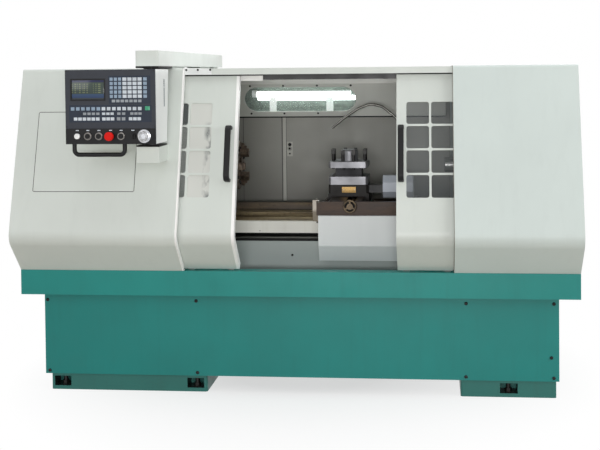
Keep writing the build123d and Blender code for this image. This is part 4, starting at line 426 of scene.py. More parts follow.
def skin(shape, rings):
    # faces between closed rings of as many points, with the first and last ring filled
    for lower, upper in zip(rings, rings[1:]):
        for step in range(len(lower)):
            shape.faces.new((lower[step - 1], lower[step], upper[step], upper[step - 1]))
    shape.faces.new(rings[0][::-1])
    shape.faces.new(rings[-1])


def linked(name, data):
    made = bpy.data.objects.new(name, data)
    scene.collection.objects.link(made)
    return made


def pattern(name, shape):
    bmesh.ops.recalc_face_normals(shape, faces=shape.faces)
    mesh = bpy.data.meshes.new(name)
    shape.to_mesh(mesh)
    shape.free()
    return linked(name, mesh)


def finishPiece(name, shape, finish, body, smooth=35):
    piece = pattern(name, shape)
    piece.data.materials.append(bpy.data.materials[finish])
    return settle(piece, body, smooth)


def applied(piece, modifier):
    result = bpy.data.meshes.new_from_object(piece.evaluated_get(bpy.context.evaluated_depsgraph_get()))
    piece.modifiers.remove(modifier)
    piece.data = result


def settle(piece, body, smooth=35):
    piece.data.shade_smooth()
    piece.data.set_sharp_from_angle(angle=math.radians(smooth))
    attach(piece, body)
    return piece


def slabsPiece(name, boxes, bevel, segments, finish, body):
    shape = bmesh.new()
    for low, high in boxes:
        slab(shape, low, high, bevel, segments)
    return finishPiece(name, shape, finish, body)


def turnedPiece(name, profile, spots, axis, count, finish, body, loop=False, smooth=35):
    shape = bmesh.new()
    for spot in spots:
        turned(shape, profile, spot, axis, count, loop)
    return finishPiece(name, shape, finish, body, smooth)


def barrel(radius, neck, tip, long):
    # profile of a round bar with chamfered ends
    return [(0, 0), (neck, 0), (radius, tip), (radius, long - tip), (neck, long), (0, long)]


# the way the machine faces, and how far a piece reaches into what it sits on, in metres
toFront, sunk = (0, -1, 0), 0.0003


def picked(values, names):
    return [values[name] for name in names.split()]


def upright(corners, frontY, backY):
    # low and high corner of a slab that stands across the view, from its (x, z) corners
    (lowX, lowZ), (highX, highZ) = corners
    return (lowX, frontY, lowZ), (highX, backY, highZ)


# Geometry Nodes helpers
def join(*links):
    for source, output, target, socket in links:
        wire(source.outputs[output], target, socket)


def startTree(name, inputs):
    tree = bpy.data.node_groups.new(name, "GeometryNodeTree")
    tree.interface.new_socket("Geometry", in_out="INPUT", socket_type="NodeSocketGeometry")
    for label, kind in inputs:
        tree.interface.new_socket(label, in_out="INPUT", socket_type="NodeSocket" + kind)
    tree.interface.new_socket("Geometry", in_out="OUTPUT", socket_type="NodeSocketGeometry")
    return tree, tree.nodes.new("NodeGroupInput")


def endTree(tree, start, last, output):
    realize = tree.nodes.new("GeometryNodeRealizeInstances")
    paint = tree.nodes.new("GeometryNodeSetMaterial")
    end = tree.nodes.new("NodeGroupOutput")
    join((last, output, realize, "Geometry"), (realize, "Geometry", paint, "Geometry"),
         (start, "Finish", paint, "Material"), (paint, "Geometry", end, "Geometry"))


def growPiece(name, mesh, tree, values, body, smooth=35):
    piece = linked(name, mesh)
    grown = piece.modifiers.new(tree.name, "NODES")
    grown.node_group = tree
    for item in tree.interface.items_tree:
        if item.in_out == "INPUT" and item.name in values:
            value = values[item.name]
            grown[item.identifier] = bpy.data.materials[value] if item.name == "Finish" else value
    applied(piece, grown)
    return settle(piece, body, smooth)


def fixingTree():
    tree, start = startTree("fixings", [("Pattern", "Object"), ("Size", "Float"), ("Finish", "Material")])
    model = tree.nodes.new("GeometryNodeObjectInfo")
    aim = tree.nodes.new("GeometryNodeInputNamedAttribute")
    aim.data_type = "FLOAT_VECTOR"
    setInputs(aim, Name="aim")
    turn = tree.nodes.new("FunctionNodeAlignRotationToVector")
    turn.axis = "Z"
    spots = tree.nodes.new("GeometryNodeInstanceOnPoints")
    join((start, "Pattern", model, "Object"), (aim, "Attribute", turn, "Vector"),
         (start, "Geometry", spots, "Points"), (model, "Geometry", spots, "Instance"),
         (turn, "Rotation", spots, "Rotation"), (start, "Size", spots, "Scale"))
    endTree(tree, start, spots, "Instances")
    return tree


def standUp(tree, start, spots):
    # the pattern on every spot, turned to face the front and moved to its middle
    model = tree.nodes.new("GeometryNodeObjectInfo")
    stand = tree.nodes.new("GeometryNodeTransform")
    setInputs(stand, Rotation=(math.pi / 2, 0, 0))
    join((start, "Pattern", model, "Object"), (model, "Geometry", spots, "Instance"),
         (spots, "Instances", stand, "Geometry"), (start, "Middle", stand, "Translation"))
    endTree(tree, start, stand, "Geometry")
    return tree


def keyTree():
    tree, start = startTree("keyRows", [("Pattern", "Object"), ("Columns", "Int"), ("Rows", "Int"),
                                        ("Width", "Float"), ("Height", "Float"), ("Key", "Vector"),
                                        ("Middle", "Vector"), ("Finish", "Material")])
    field = tree.nodes.new("GeometryNodeMeshGrid")
    spots = tree.nodes.new("GeometryNodeInstanceOnPoints")
    join((start, "Width", field, "Size X"), (start, "Height", field, "Size Y"),
         (start, "Columns", field, "Vertices X"), (start, "Rows", field, "Vertices Y"),
         (field, "Mesh", spots, "Points"), (start, "Key", spots, "Scale"))
    return standUp(tree, start, spots)


def dialTree():
    tree, start = startTree("dialMarks", [("Pattern", "Object"), ("Count", "Int"), ("Radius", "Float"),
                                          ("Middle", "Vector"), ("Finish", "Material")])
    ring = tree.nodes.new("GeometryNodeMeshCircle")
    outward = tree.nodes.new("GeometryNodeInputPosition")
    turn = tree.nodes.new("FunctionNodeAlignRotationToVector")
    turn.axis = "X"
    spots = tree.nodes.new("GeometryNodeInstanceOnPoints")
    join((start, "Count", ring, "Vertices"), (start, "Radius", ring, "Radius"),
         (outward, "Position", turn, "Vector"), (ring, "Mesh", spots, "Points"),
         (turn, "Rotation", spots, "Rotation"))
    return standUp(tree, start, spots)


def screwPattern():
    # button head one unit across, with a round socket in its top, turned on twelve sides
    shape = bmesh.new()
    turned(shape, [(0.0, 0.1), (0.26, 0.1), (0.28, 0.34), (0.4, 0.26), (0.48, 0.12), (0.5, -0.1),
                   (0.0, -0.1)], (0, 0, 0), (0, 0, 1), 12)
    return pattern("screwPattern", shape)


def keyPattern():
    # one unit square with a pressed edge, thickness in metres
    shape = bmesh.new()
    thick = 0.0011
    lower = [(-0.5, -0.5), (0.5, -0.5), (0.5, 0.5), (-0.5, 0.5)]
    levels = [(1.0, -0.0002), (1.0, thick * 0.6), (0.9, thick)]
    rings = [[shape.verts.new((x * share, y * share, z)) for x, y in lower] for share, z in levels]
    skin(shape, rings)
    return pattern("keyPattern", shape)


screwModel = screwPattern()
keyModel = keyPattern()
fixings = fixingTree()
keyRows = keyTree()
dialMarks = dialTree()


def placeFixings(name, spots, size, body, finish="blackSteel", slotName="black_steel", model=screwModel):
    mesh = bpy.data.meshes.new(name)
    mesh.from_pydata([spot for spot, aim in spots], [], [])
    aims = mesh.attributes.new("aim", "FLOAT_VECTOR", "POINT")
    for index, (spot, aim) in enumerate(spots):
        aims.data[index].vector = aim
    values = {"Pattern": model, "Size": size, "Finish": finish}
    return growPiece(name, mesh, fixings, values, body)


def frontScrews(name, values, y, body, *looks):
    spots = [((x, y, z), toFront) for x in values["screwX"] for z in values["screwZ"]]
    return placeFixings(name, spots, values["screwSize"], body, *looks)


# base: screws in the front panel and plinth
baseFixings = {
    "size": 0.017,
    "spots": [(-1.214, 0.439), (-0.483, 0.440), (-1.208, 0.095), (-0.480, 0.095), (0.799, 0.441),
              (1.204, 0.443), (0.797, 0.096), (1.203, 0.096), (1.192, 0.191)],
}
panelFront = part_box("base_front_panel")[0].y
placeFixings("basePanelScrews", [((x, panelFront, z), toFront) for x, z in baseFixings["spots"]],
             baseFixings["size"], "base")

# lamp: screws along the leaning face, zinc reflector, second tube, and a dark strip under the housing,
# painted shadow
lamp = {
    "screwX": (-0.345, -0.162, 0.024, 0.208), "screwZ": (1.455, 1.303), "screwSize": 0.012,
    "faceY": 0.300, "lipZ": 1.466, "lowEdgeZ": 1.286, "lean": 0.050,
}
lampRise = lamp["lipZ"] - lamp["lowEdgeZ"]


def lampFaceY(z):
    return lamp["faceY"] + lamp["lean"] * (lamp["lipZ"] - z) / lampRise


lampAim = Vector((0, -lampRise, -lamp["lean"])).normalized()
placeFixings("lampScrews", [((x, lampFaceY(z), z), lampAim) for x in lamp["screwX"] for z in lamp["screwZ"]],
             lamp["screwSize"], "base")


def troughPiece(name, outline, lowX, highX, thick, finish, body):
    # a bent sheet: outline of (y, z) points drawn along X, then given its thickness
    shape = bmesh.new()
    ends = [[shape.verts.new((x, y, z)) for y, z in outline] for x in (lowX, highX)]
    for step in range(len(outline) - 1):
        shape.faces.new((ends[0][step], ends[1][step], ends[1][step + 1], ends[0][step + 1]))
    bmesh.ops.recalc_face_normals(shape, faces=shape.faces)
    bmesh.ops.solidify(shape, geom=shape.faces[:], thickness=thick)
    return finishPiece(name, shape, finish, body)


reflector = {"margin": 0.070, "thick": 0.0012, "backY": 0.452, "lowZ": 1.300, "highZ": 1.462, "turn": 0.030,
             "gap": 0.014}
backY, lowZ, highZ, turn, gap, margin = picked(reflector, "backY lowZ highZ turn gap margin")
reflectorOutline = [(lampFaceY(lowZ) + gap, lowZ), (backY - turn, lowZ), (backY, lowZ + turn),
                    (backY, highZ - turn), (backY - turn, highZ), (lampFaceY(highZ) + gap, highZ)]
lensLow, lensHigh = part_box("lamp_lens")
troughPiece("lampReflector", reflectorOutline, lensLow.x - margin, lensHigh.x + margin, reflector["thick"],
            "zincSteel", "base")

secondTube = {"startX": -0.318, "endX": 0.226, "y": 0.395, "z": 1.387, "radius": 0.013, "tip": 0.004}
startX, radius, tip = picked(secondTube, "startX radius tip")
turnedPiece("secondTube", barrel(radius, radius - tip, tip, secondTube["endX"] - startX),
            [(startX, secondTube["y"], secondTube["z"])], (1, 0, 0), 24, "lowGlow", "base")

# a near black strip under the lamp housing's lower edge: painted shadow
lampSeal = {"drop": 0.0065, "setback": 0.0455, "deep": 0.014, "inset": 0.001, "bevel": 0.0005}
lampLow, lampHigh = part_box("lamp_housing")
shadowStripY, inset = lampLow.y + lampSeal["setback"], lampSeal["inset"]
slabsPiece("lampSeal", [((lampLow.x + inset, shadowStripY, lampLow.z - lampSeal["drop"]),
                         (lampHigh.x - inset, shadowStripY + lampSeal["deep"], lampLow.z + sunk))],
           lampSeal["bevel"], 1, "sealRubber", "base")
print("lamp dressed")

# roof: whiter end plate over the left of the front lip, with its screws
roof = {"plate": ((-0.5265, 1.5215), (-0.397, 1.549)), "thick": 0.0012, "bevel": 0.0005,
        "screwX": (-0.519, -0.463, -0.403), "screwZ": (1.544,), "screwSize": 0.011}
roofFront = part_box("top_cover")[0].y
roofFace = roofFront - roof["thick"]
slabsPiece("roofEndPlate", [upright(roof["plate"], roofFace, roofFront + sunk)], roof["bevel"], 1,
           "edgePaint", "base")
frontScrews("roofScrews", roof, roofFace, "base")

# pendant: films, keys, screen, button rings and the dial
pendant = {
    "filmY": -0.754, "filmThick": 0.0006, "filmSunk": 0.0001, "punchReach": 0.004,
    "strip": ((-1.0035, 1.2126), (-0.5885, 1.2825)),
    "keypad": ((-0.802, 1.394), (-0.610, 1.520)), "softKeys": ((-0.986, 1.311), (-0.606, 1.389)),
    "operatorZ": 1.248, "powerX": -0.950, "pushX": (-0.901, -0.850, -0.747), "stopX": -0.796,
    "selectorX": -0.693, "pulseX": -0.640,
    "pushHole": 0.0165, "powerHole": 0.0131, "stopHole": 0.0126, "shaftHole": 0.0056,
    "screwX": (-0.9985, -0.5935), "screwZ": (1.292, 1.5425), "screwSize": 0.0065,
}
filmY, filmSunk, operatorZ = picked(pendant, "filmY filmSunk operatorZ")
filmFace = filmY - pendant["filmThick"]
powerX, pushX, stopX, selectorX, pulseX = picked(pendant, "powerX pushX stopX selectorX pulseX")


def filmPiece(name, corners, finish, holes=()):
    shape = bmesh.new()
    slab(shape, *upright(corners, filmFace, filmY + filmSunk))
    if not holes:
        return finishPiece(name, shape, finish, "pendant")
    sheet = pattern(name, shape)
    sheet.data.materials.append(bpy.data.materials[finish])
    punch = bmesh.new()
    reach = pendant["punchReach"]
    for x, radius in holes:
        turned(punch, [(radius, -reach), (radius, reach)], (x, filmY, operatorZ), toFront, 48)
    tool = pattern(name + "Punch", punch)
    cut = sheet.modifiers.new("holes", "BOOLEAN")
    cut.operation, cut.object, cut.solver = "DIFFERENCE", tool, "EXACT"
    applied(sheet, cut)
    bpy.data.objects.remove(tool)
    return settle(sheet, "pendant", 20)


stripHoles = [(x, pendant["pushHole"]) for x in pushX]
stripHoles += [(powerX, pendant["powerHole"]), (stopX, pendant["stopHole"])]
stripHoles += [(x, pendant["shaftHole"]) for x in (selectorX, pulseX)]
filmPiece("operatorFilm", pendant["strip"], "stripFilm", stripHoles)
filmPiece("keypadFilm", pendant["keypad"], "panelDarkFilm")
filmPiece("softKeyFilm", pendant["softKeys"], "panelDarkFilm")


def keyField(name, columns, rows, lowX, highX, lowZ, highZ, keyWidth, keyHeight, finish):
    values = {"Pattern": keyModel, "Columns": columns, "Rows": rows, "Width": highX - lowX - keyWidth,
              "Height": highZ - lowZ - keyHeight, "Key": (keyWidth, keyHeight, 1.0), "Finish": finish,
              "Middle": ((lowX + highX) / 2, filmFace, (lowZ + highZ) / 2)}
    return growPiece(name, bpy.data.meshes.new(name), keyRows, values, "pendant", 25)


# name, columns, rows, low and high X, low and high Z, key width and height, finish
keyGroups = [
    ("editKeys", 3, 5, -0.797, -0.744, 1.420, 1.512, 0.014, 0.0145, "blueKeyPlastic"),
    ("numberKeys", 4, 5, -0.738, -0.650, 1.420, 1.512, 0.0185, 0.0150, "keyPlastic"),
    ("pageKeys", 1, 5, -0.643, -0.626, 1.420, 1.512, 0.016, 0.0145, "blueKeyPlastic"),
    ("menuKeys", 7, 1, -0.788, -0.652, 1.399, 1.414, 0.0155, 0.0120, "grayKeyPlastic"),
    ("modeKeysA", 6, 1, -0.978, -0.8425, 1.362, 1.382, 0.0165, 0.0150, "blueKeyPlastic"),
    ("modeKeysB", 8, 1, -0.8352, -0.652, 1.362, 1.382, 0.0165, 0.0150, "keyPlastic"),
    ("startKey", 1, 1, -0.636, -0.614, 1.362, 1.384, 0.0220, 0.0180, "greenKeyPlastic"),
    ("axisKeys", 4, 1, -0.922, -0.846, 1.342, 1.357, 0.0150, 0.0110, "grayKeyPlastic"),
    ("feedKeys", 3, 1, -0.834, -0.780, 1.342, 1.357, 0.0150, 0.0110, "keyPlastic"),
    ("spindleKeys", 2, 1, -0.764, -0.727, 1.342, 1.357, 0.0150, 0.0110, "grayKeyPlastic"),
    ("toolKeys", 3, 1, -0.704, -0.652, 1.342, 1.357, 0.0150, 0.0110, "grayKeyPlastic"),
    ("lowKeysA", 6, 1, -0.965, -0.846, 1.318, 1.334, 0.0165, 0.0140, "keyPlastic"),
    ("lowKeysB", 3, 1, -0.834, -0.778, 1.318, 1.334, 0.0165, 0.0140, "keyPlastic"),
    ("lowKeysC", 2, 1, -0.766, -0.727, 1.318, 1.334, 0.0165, 0.0140, "grayKeyPlastic"),
    ("lowKeysD", 3, 1, -0.711, -0.655, 1.318, 1.334, 0.0165, 0.0140, "keyPlastic"),
]
for group in keyGroups:
    keyField(*group)

display = {"corners": ((-0.974, 1.414), (-0.824, 1.502)), "depth": 0.003, "inset": 0.001, "thick": 0.0016,
           "sunk": 0.0002, "bevel": 0.0008, "rim": 0.006, "rimProud": 0.0014, "rimBevel": 0.0006}
(lowX, lowZ), (highX, highZ) = display["corners"]
inset, rim = picked(display, "inset rim")
displayY = filmY + display["depth"]
slabsPiece("screenPicture", [upright(((lowX + inset, lowZ + inset), (highX - inset, highZ - inset)),
                                     displayY - display["thick"], displayY + display["sunk"])],
           display["bevel"], 2, "screenPicture", "pendant")
rims = [((lowX - rim, highZ), (highX + rim, highZ + rim)), ((lowX - rim, lowZ - rim), (highX + rim, lowZ)),
        ((lowX - rim, lowZ), (lowX, highZ)), ((highX, lowZ), (highX + rim, highZ))]
rimFront = filmY - display["rimProud"]
slabsPiece("screenBezel", [upright(corners, rimFront, filmY + filmSunk) for corners in rims],
           display["rimBevel"], 2, "stripFilm", "pendant")

# radius and height of the rings' edges
ringProfile = [(0.0116, 0.0002), (0.0172, 0.0002), (0.0172, 0.0062), (0.0156, 0.0080), (0.0124, 0.0080),
               (0.0116, 0.0070)]
turnedPiece("buttonRings", ringProfile, [(x, filmY, operatorZ) for x in pushX], toFront, 40,
            "ringSteel", "pendant", True)
label = {"half": 0.007, "proud": 0.0012, "lowZ": 1.2722, "highZ": 1.2762, "bevel": 0.0003}
half, lowZ, highZ = picked(label, "half lowZ highZ")
slabsPiece("labelPlates", [upright(((x - half, lowZ), (x + half, highZ)), filmY - label["proud"], filmY)
                           for x in (*pushX, powerX, stopX, selectorX)],
           label["bevel"], 1, "keyPlastic", "pendant")
frontScrews("panelScrews", pendant, filmY, "pendant")

dial = {"mark": (0.0011, 0.0003, 0.0002), "marks": 50, "markRadius": 0.0280, "face": 0.0083,
        "rings": ((0.0215, 0.0012), (0.0150, 0.0010)), "ringSunk": 0.0006, "ringProud": 0.0005,
        "ringTop": 0.6}
halfLong, halfWide, thick = dial["mark"]
shape = bmesh.new()
slab(shape, (-halfLong, -halfWide, 0.0), (halfLong, halfWide, thick))
markModel = pattern("markPattern", shape)
growPiece("pulseMarks", bpy.data.meshes.new("pulseMarks"), dialMarks,
          {"Pattern": markModel, "Count": dial["marks"], "Radius": dial["markRadius"], "Finish": "stripFilm",
           "Middle": (pulseX, filmY - dial["face"], operatorZ)}, "pulse_wheel")

# gray strip and dots on the case side: painted shade inside its slot and holes
slot = {"y": -0.600, "lowZ": 1.376, "highZ": 1.464, "half": 0.0075, "dots": (1.473, 1.484, 1.494),
        "proud": 0.0006, "bevel": 0.0003}
slotY, half, proud = picked(slot, "y half proud")
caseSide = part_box("pendant_case")[1].x
shape = bmesh.new()
slab(shape, (caseSide - sunk, slotY - half, slot["lowZ"]), (caseSide + proud, slotY + half, slot["highZ"]),
     slot["bevel"], 1)
for z in slot["dots"]:
    turned(shape, [(0, -sunk), (half, -sunk), (half, proud), (0, proud)], (caseSide, slotY, z), (1, 0, 0), 24)
finishPiece("caseSlots", shape, "grayKeyPlastic", "pendant")

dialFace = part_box("pulse_wheel")[0].y
ringSunk, ringProud, ringTop = picked(dial, "ringSunk ringProud ringTop")
shape = bmesh.new()
for radius, wide in dial["rings"]:
    narrow = wide * ringTop
    turned(shape, [(radius - wide, -ringSunk), (radius + wide, -ringSunk), (radius + narrow, ringProud),
                   (radius - narrow, ringProud)], (pulseX, dialFace, operatorZ), toFront, 56, True)
finishPiece("dialRings", shape, "ringSteel", "pulse_wheel")

# dark rubber pads under the pendant arm and on top of the bracket; their darkness also paints the shadow in
# these gaps
pads = {"inset": 0.0008, "armBackY": -0.450, "armZ": (1.5535, 1.5622), "bracketBack": 0.02,
        "bracketZ": (1.1955, 1.2030), "bevel": 0.001}
armLow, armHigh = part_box("pendant_arm")
inset = pads["inset"]
padBoxes = [((low.x + inset, low.y + inset, lowZ), (high.x - inset, backY, highZ))
            for low, high, backY, (lowZ, highZ) in (
                (armLow, armHigh, pads["armBackY"], pads["armZ"]),
                (bracketLow, bracketHigh, bracketHigh.y - pads["bracketBack"], pads["bracketZ"]))]
slabsPiece("swivelPads", padBoxes, pads["bevel"], 2, "sealRubber", "base")
print("pendant dressed")

# carriage: bare plate on the turret base, screws in guard and screw cover, and a dark ring behind the cross
# screw, painted shade seen through the handwheel
plate = {"corners": ((0.194, 0.922), (0.264, 0.951)), "thick": 0.0015, "bevel": 0.0005,
         "screwX": (0.2005, 0.2575), "screwZ": (0.9365,), "screwSize": 0.006}
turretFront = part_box("turret_base")[0].y
plateFace = turretFront - plate["thick"]
slabsPiece("turretPlate", [upright(plate["corners"], plateFace, turretFront + sunk)], plate["bevel"], 2,
           "brassPlate", "cross_slide")
frontScrews("turretPlateScrews", plate, plateFace, "cross_slide", "turnedSteel", "steel")
guard = {"screwX": (-0.450, -0.042, 0.366, 0.700), "screwZ": (0.630,), "screwSize": 0.012}
guardLow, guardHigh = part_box("bed_guard")
frontScrews("guardScrews", guard, guardLow.y, "base")
screwCover = {"screwX": (-0.21, 0.13, 0.47), "screwZ": (0.7425,), "screwSize": 0.007}
frontScrews("screwCoverScrews", screwCover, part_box("screw_cover")[0].y, "base", "turnedSteel", "steel")
# a dark ring on the saddle behind the cross screw's handwheel: painted shade seen through the wheel's windows
wheelShade = {"inner": 0.012, "outer": 0.0265, "thick": 0.004, "x": 0.251, "z": 0.882}
inner, outer, thick = picked(wheelShade, "inner outer thick")
turnedPiece("wheelShade", [(inner, 0), (outer, 0), (outer, thick), (inner, thick)],
            [(wheelShade["x"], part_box("saddle")[0].y + sunk, wheelShade["z"])], toFront, 36,
            "sealRubber", "carriage", True)
chuckRing = {"radius": 0.092, "axisZ": 1.05, "angles": (0, 20, 100, 120, 140, 220, 240, 260, 340),
             "size": 0.018}
radius, axisZ = picked(chuckRing, "radius axisZ")
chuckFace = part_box("chuck_body")[1].x
chuckSpots = [((chuckFace, radius * math.cos(angle), axisZ + radius * math.sin(angle)), (1, 0, 0))
              for angle in map(math.radians, chuckRing["angles"])]
placeFixings("chuckScrews", chuckSpots, chuckRing["size"], "spindle")
print("carriage dressed")

# work space: seam post and lock on the rear wall with a seam line and painted shadow beside the post, splash
# plate behind the bed, and a dark seal along the guard that also paints the shadow under its lip
rear = {"post": ((-0.192, 0.806), (-0.1735, 1.284)), "proud": 0.004, "sunk": 0.0005, "bevel": 0.0015,
        "seamAndShadowX": ((-0.4185, -0.4150), (-0.1985, -0.1920), (-0.1735, -0.1712)), "seamProud": 0.0006}
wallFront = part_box("rear_wall")[0].y
wallInside = wallFront + rear["sunk"]
slabsPiece("rearPost", [upright(rear["post"], wallFront - rear["proud"], wallInside)], rear["bevel"], 2,
           "postPaint", "base")
lowZ, highZ = (z for x, z in rear["post"])
# a seam line on the rear wall, then dark strips on both sides of the post: painted shadow
slabsPiece("wallSeams", [upright(((lowX, lowZ), (highX, highZ)), wallFront - rear["seamProud"], wallInside)
                         for lowX, highX in rear["seamAndShadowX"]], 0.0, 2, "seamPaint", "base")

lock = {"plate": ((-0.1690, 1.056), (-0.1370, 1.138)), "thick": 0.002, "bevel": 0.0008, "barrelLong": 0.008,
        "barrels": ((1.122, 0.0098), (1.100, 0.006), (1.071, 0.005)), "x": -0.153, "shoulder": 0.002,
        "top": 0.003, "topShare": 0.75}
doorLow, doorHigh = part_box("rear_door")
doorSkin = doorLow.y + lock["barrelLong"]
lockFace = doorSkin - lock["thick"]
slabsPiece("lockPlate", [upright(lock["plate"], lockFace, doorSkin + sunk)], lock["bevel"], 2,
           "postPaint", "rear_door")
shoulder, top, share = picked(lock, "shoulder top topShare")
shape = bmesh.new()
for (z, radius), faceY in zip(lock["barrels"], (lockFace, doorLow.y, lockFace)):
    turned(shape, [(0, -sunk), (radius, -sunk), (radius, shoulder), (radius * share, top), (0, top)],
           (lock["x"], faceY, z), toFront, 28)
finishPiece("lockBarrel", shape, "blackSteel", "rear_door")

splash = {"lowX": -0.418, "highX": 0.742, "y": 0.262, "lowZ": 0.482, "topZ": 0.822, "hem": 0.014,
          "thick": 0.002}
splashY, topZ = picked(splash, "y topZ")
troughPiece("rearSplash", [(splashY, splash["lowZ"]), (splashY, topZ), (splashY + splash["hem"], topZ)],
            splash["lowX"], splash["highX"], splash["thick"], "splashOil", "base")
# a black rubber seal along the guard's top, whose darkness also paints the shadow line under its lip
sealAndShade = {"rise": 0.0012, "drop": 0.0095, "proud": 0.0014, "back": 0.0150, "inset": 0.002, "bevel": 0.0004}
inset = sealAndShade["inset"]
slabsPiece("guardSeal", [((guardLow.x + inset, guardLow.y - sealAndShade["proud"], guardHigh.z - sealAndShade["drop"]),
                          (guardHigh.x - inset, guardLow.y + sealAndShade["back"], guardHigh.z + sealAndShade["rise"]))],
           sealAndShade["bevel"], 1, "sealRubber", "base")
print("work space dressed")

# left cover: dark joint in the gap around the access panel, on the leaning front
access = {"lowX": -1.223, "highX": -0.735, "lowZ": 0.979, "highZ": 1.350, "gap": 0.0028, "inset": 0.0004,
          "thick": 0.0009, "topY": -0.450, "topZ": 1.553, "kneeY": -0.667, "kneeZ": 0.760}


def coverY(z):
    topY, topZ, kneeY, kneeZ = picked(access, "topY topZ kneeY kneeZ")
    return topY + (kneeY - topY) * (topZ - z) / (topZ - kneeZ)


def leaningStrip(shape, lowX, lowZ, highX, highZ):
    corners = ((lowX, lowZ), (highX, lowZ), (highX, highZ), (lowX, highZ))
    skin(shape, [[shape.verts.new((x, coverY(z) + depth, z)) for x, z in corners]
                 for depth in (access["inset"], access["inset"] + access["thick"])])


lowX, highX, lowZ, highZ, gap = picked(access, "lowX highX lowZ highZ gap")
shape = bmesh.new()
for strip in ((lowX, highZ - gap, highX, highZ), (lowX, lowZ, highX, lowZ + gap),
              (lowX, lowZ + gap, lowX + gap, highZ - gap), (highX - gap, lowZ + gap, highX, highZ - gap)):
    leaningStrip(shape, *strip)
finishPiece("accessJoint", shape, "linePaint", "base")
print("covers dressed")


# back and ends: pressed louvres, edge screws, cabinet fittings, rear door pull and tray drain
def louvrePattern(name, alongX):
    # a pressed rib with drawn-in ends, in metres, standing on z = 0
    half, across, rise, ends, endShare, steps = 0.060, 0.009, 0.0055, 0.012, 0.4, 6
    shape = bmesh.new()
    rows = []
    for place, share in ((-half, 0.0), (-half + ends, 1.0), (half - ends, 1.0), (half, 0.0)):
        row = []
        for step in range(steps + 1):
            angle = math.pi * step / steps
            side = -across * math.cos(angle) * (endShare + (1 - endShare) * share)
            height = rise * math.sin(angle) * share - sunk
            row.append(shape.verts.new((place, side, height) if alongX else (side, place, height)))
        rows.append(row)
    skin(shape, rows)
    bmesh.ops.remove_doubles(shape, verts=shape.verts, dist=0.00001)
    return pattern(name, shape)


louvres = {"rows": 9, "pitch": 0.030, "endY": (-0.16, 0.10), "endZ": 0.760,
           "rearX": (0.950, 1.110), "rearZ": 1.180}
louvreUp, louvreAcross = louvrePattern("louvreUp", False), louvrePattern("louvreAcross", True)
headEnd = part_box("headstock_cover")[0].x
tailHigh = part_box("tail_cover")[1]
endRows, rearRows = ([louvres[start] + row * louvres["pitch"] for row in range(louvres["rows"])]
                     for start in ("endZ", "rearZ"))
endSpots = [(y, z) for y in louvres["endY"] for z in endRows]
rearSpots = [((x, tailHigh.y, z), (0, 1, 0)) for x in louvres["rearX"] for z in rearRows]
louvreGroups = [
    ("leftLouvres", louvreUp, [((headEnd, y, z), (-1, 0, 0)) for y, z in endSpots], "coverPaint"),
    ("rightLouvres", louvreUp, [((tailHigh.x, y, z), (1, 0, 0)) for y, z in endSpots], "tailPaint"),
    ("rearLouvres", louvreAcross, rearSpots, "tailPaint"),
]
for name, model, spots, finish in louvreGroups:
    placeFixings(name, spots, 1.0, "base", finish, "cover_paint", model)

edges = {"size": 0.012, "rearY": 0.515, "endY": (-0.40, -0.20, 0.0, 0.20, 0.40), "footZ": 0.622,
         "sideZ": (0.78, 1.00, 1.22, 1.44), "tailX": (0.79, 0.96, 1.13, 1.28)}
endY, footZ, sideZ, tailX = picked(edges, "endY footZ sideZ tailX")
edgeSpots = []
for faceX, aim in ((headEnd, (-1, 0, 0)), (tailHigh.x, (1, 0, 0))):
    edgeSpots += [((faceX, y, footZ), aim) for y in endY]
    edgeSpots += [((faceX, edges["rearY"], z), aim) for z in sideZ]
edgeSpots += [((x, tailHigh.y, footZ), (0, 1, 0)) for x in tailX]
edgeSpots += [((tailX[0], tailHigh.y, z), (0, 1, 0)) for z in sideZ]
placeFixings("coverEdgeScrews", edgeSpots, edges["size"], "base", "turnedSteel", "steel")

hinge = {"x": -1.2535, "y": 0.772, "z": (0.760, 1.080, 1.400), "long": 0.060, "radius": 0.0065, "tip": 0.002,
         "neck": 0.8}
radius = hinge["radius"]
turnedPiece("cabinetHinges", barrel(radius, radius * hinge["neck"], hinge["tip"], hinge["long"]),
            [(hinge["x"], hinge["y"], z) for z in hinge["z"]], (0, 0, 1), 20,
            "blackSteel", "base")
# cap, mouth and bore are shares of the radius, their ends shares of the drop
gland = {"x": (-1.15, -1.08, -1.01, -0.94), "y": 0.640, "radius": 0.015, "drop": 0.026, "root": 0.001,
         "nut": 0.008, "step": 0.009, "cap": 0.82, "capEnd": 0.7, "mouth": 0.6, "bore": 0.35, "boreEnd": 0.6}
radius, drop, root = picked(gland, "radius drop root")
cap, mouth, bore = (radius * share for share in picked(gland, "cap mouth bore"))
capEnd, boreEnd = (drop * share for share in picked(gland, "capEnd boreEnd"))
turnedPiece("cableGlands", [(0, -root), (radius, -root), (radius, gland["nut"]), (cap, gland["step"]),
                            (cap, capEnd), (mouth, drop), (bore, drop), (bore, boreEnd), (0, boreEnd)],
            [(x, gland["y"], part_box("electrical_cabinet")[0].z) for x in gland["x"]], (0, 0, -1), 8,
            "handlePlastic", "base", smooth=30)

pull = {"x": -0.110, "lowZ": 0.900, "highZ": 1.060, "reach": 0.032, "half": 0.007, "foot": 0.011,
        "footBevel": 0.003, "barBevel": 0.004}
pullX, half, foot = picked(pull, "x half foot")
pullBack = doorHigh.y + pull["reach"]
shape = bmesh.new()
for z in (pull["lowZ"], pull["highZ"]):
    slab(shape, (pullX - foot, doorHigh.y - sunk, z - foot), (pullX + foot, pullBack, z + foot),
         pull["footBevel"], 2)
slab(shape, (pullX - half, pullBack - 2 * half, pull["lowZ"]), (pullX + half, pullBack, pull["highZ"]),
     pull["barBevel"], 3)
finishPiece("rearPull", shape, "handlePlastic", "rear_door")

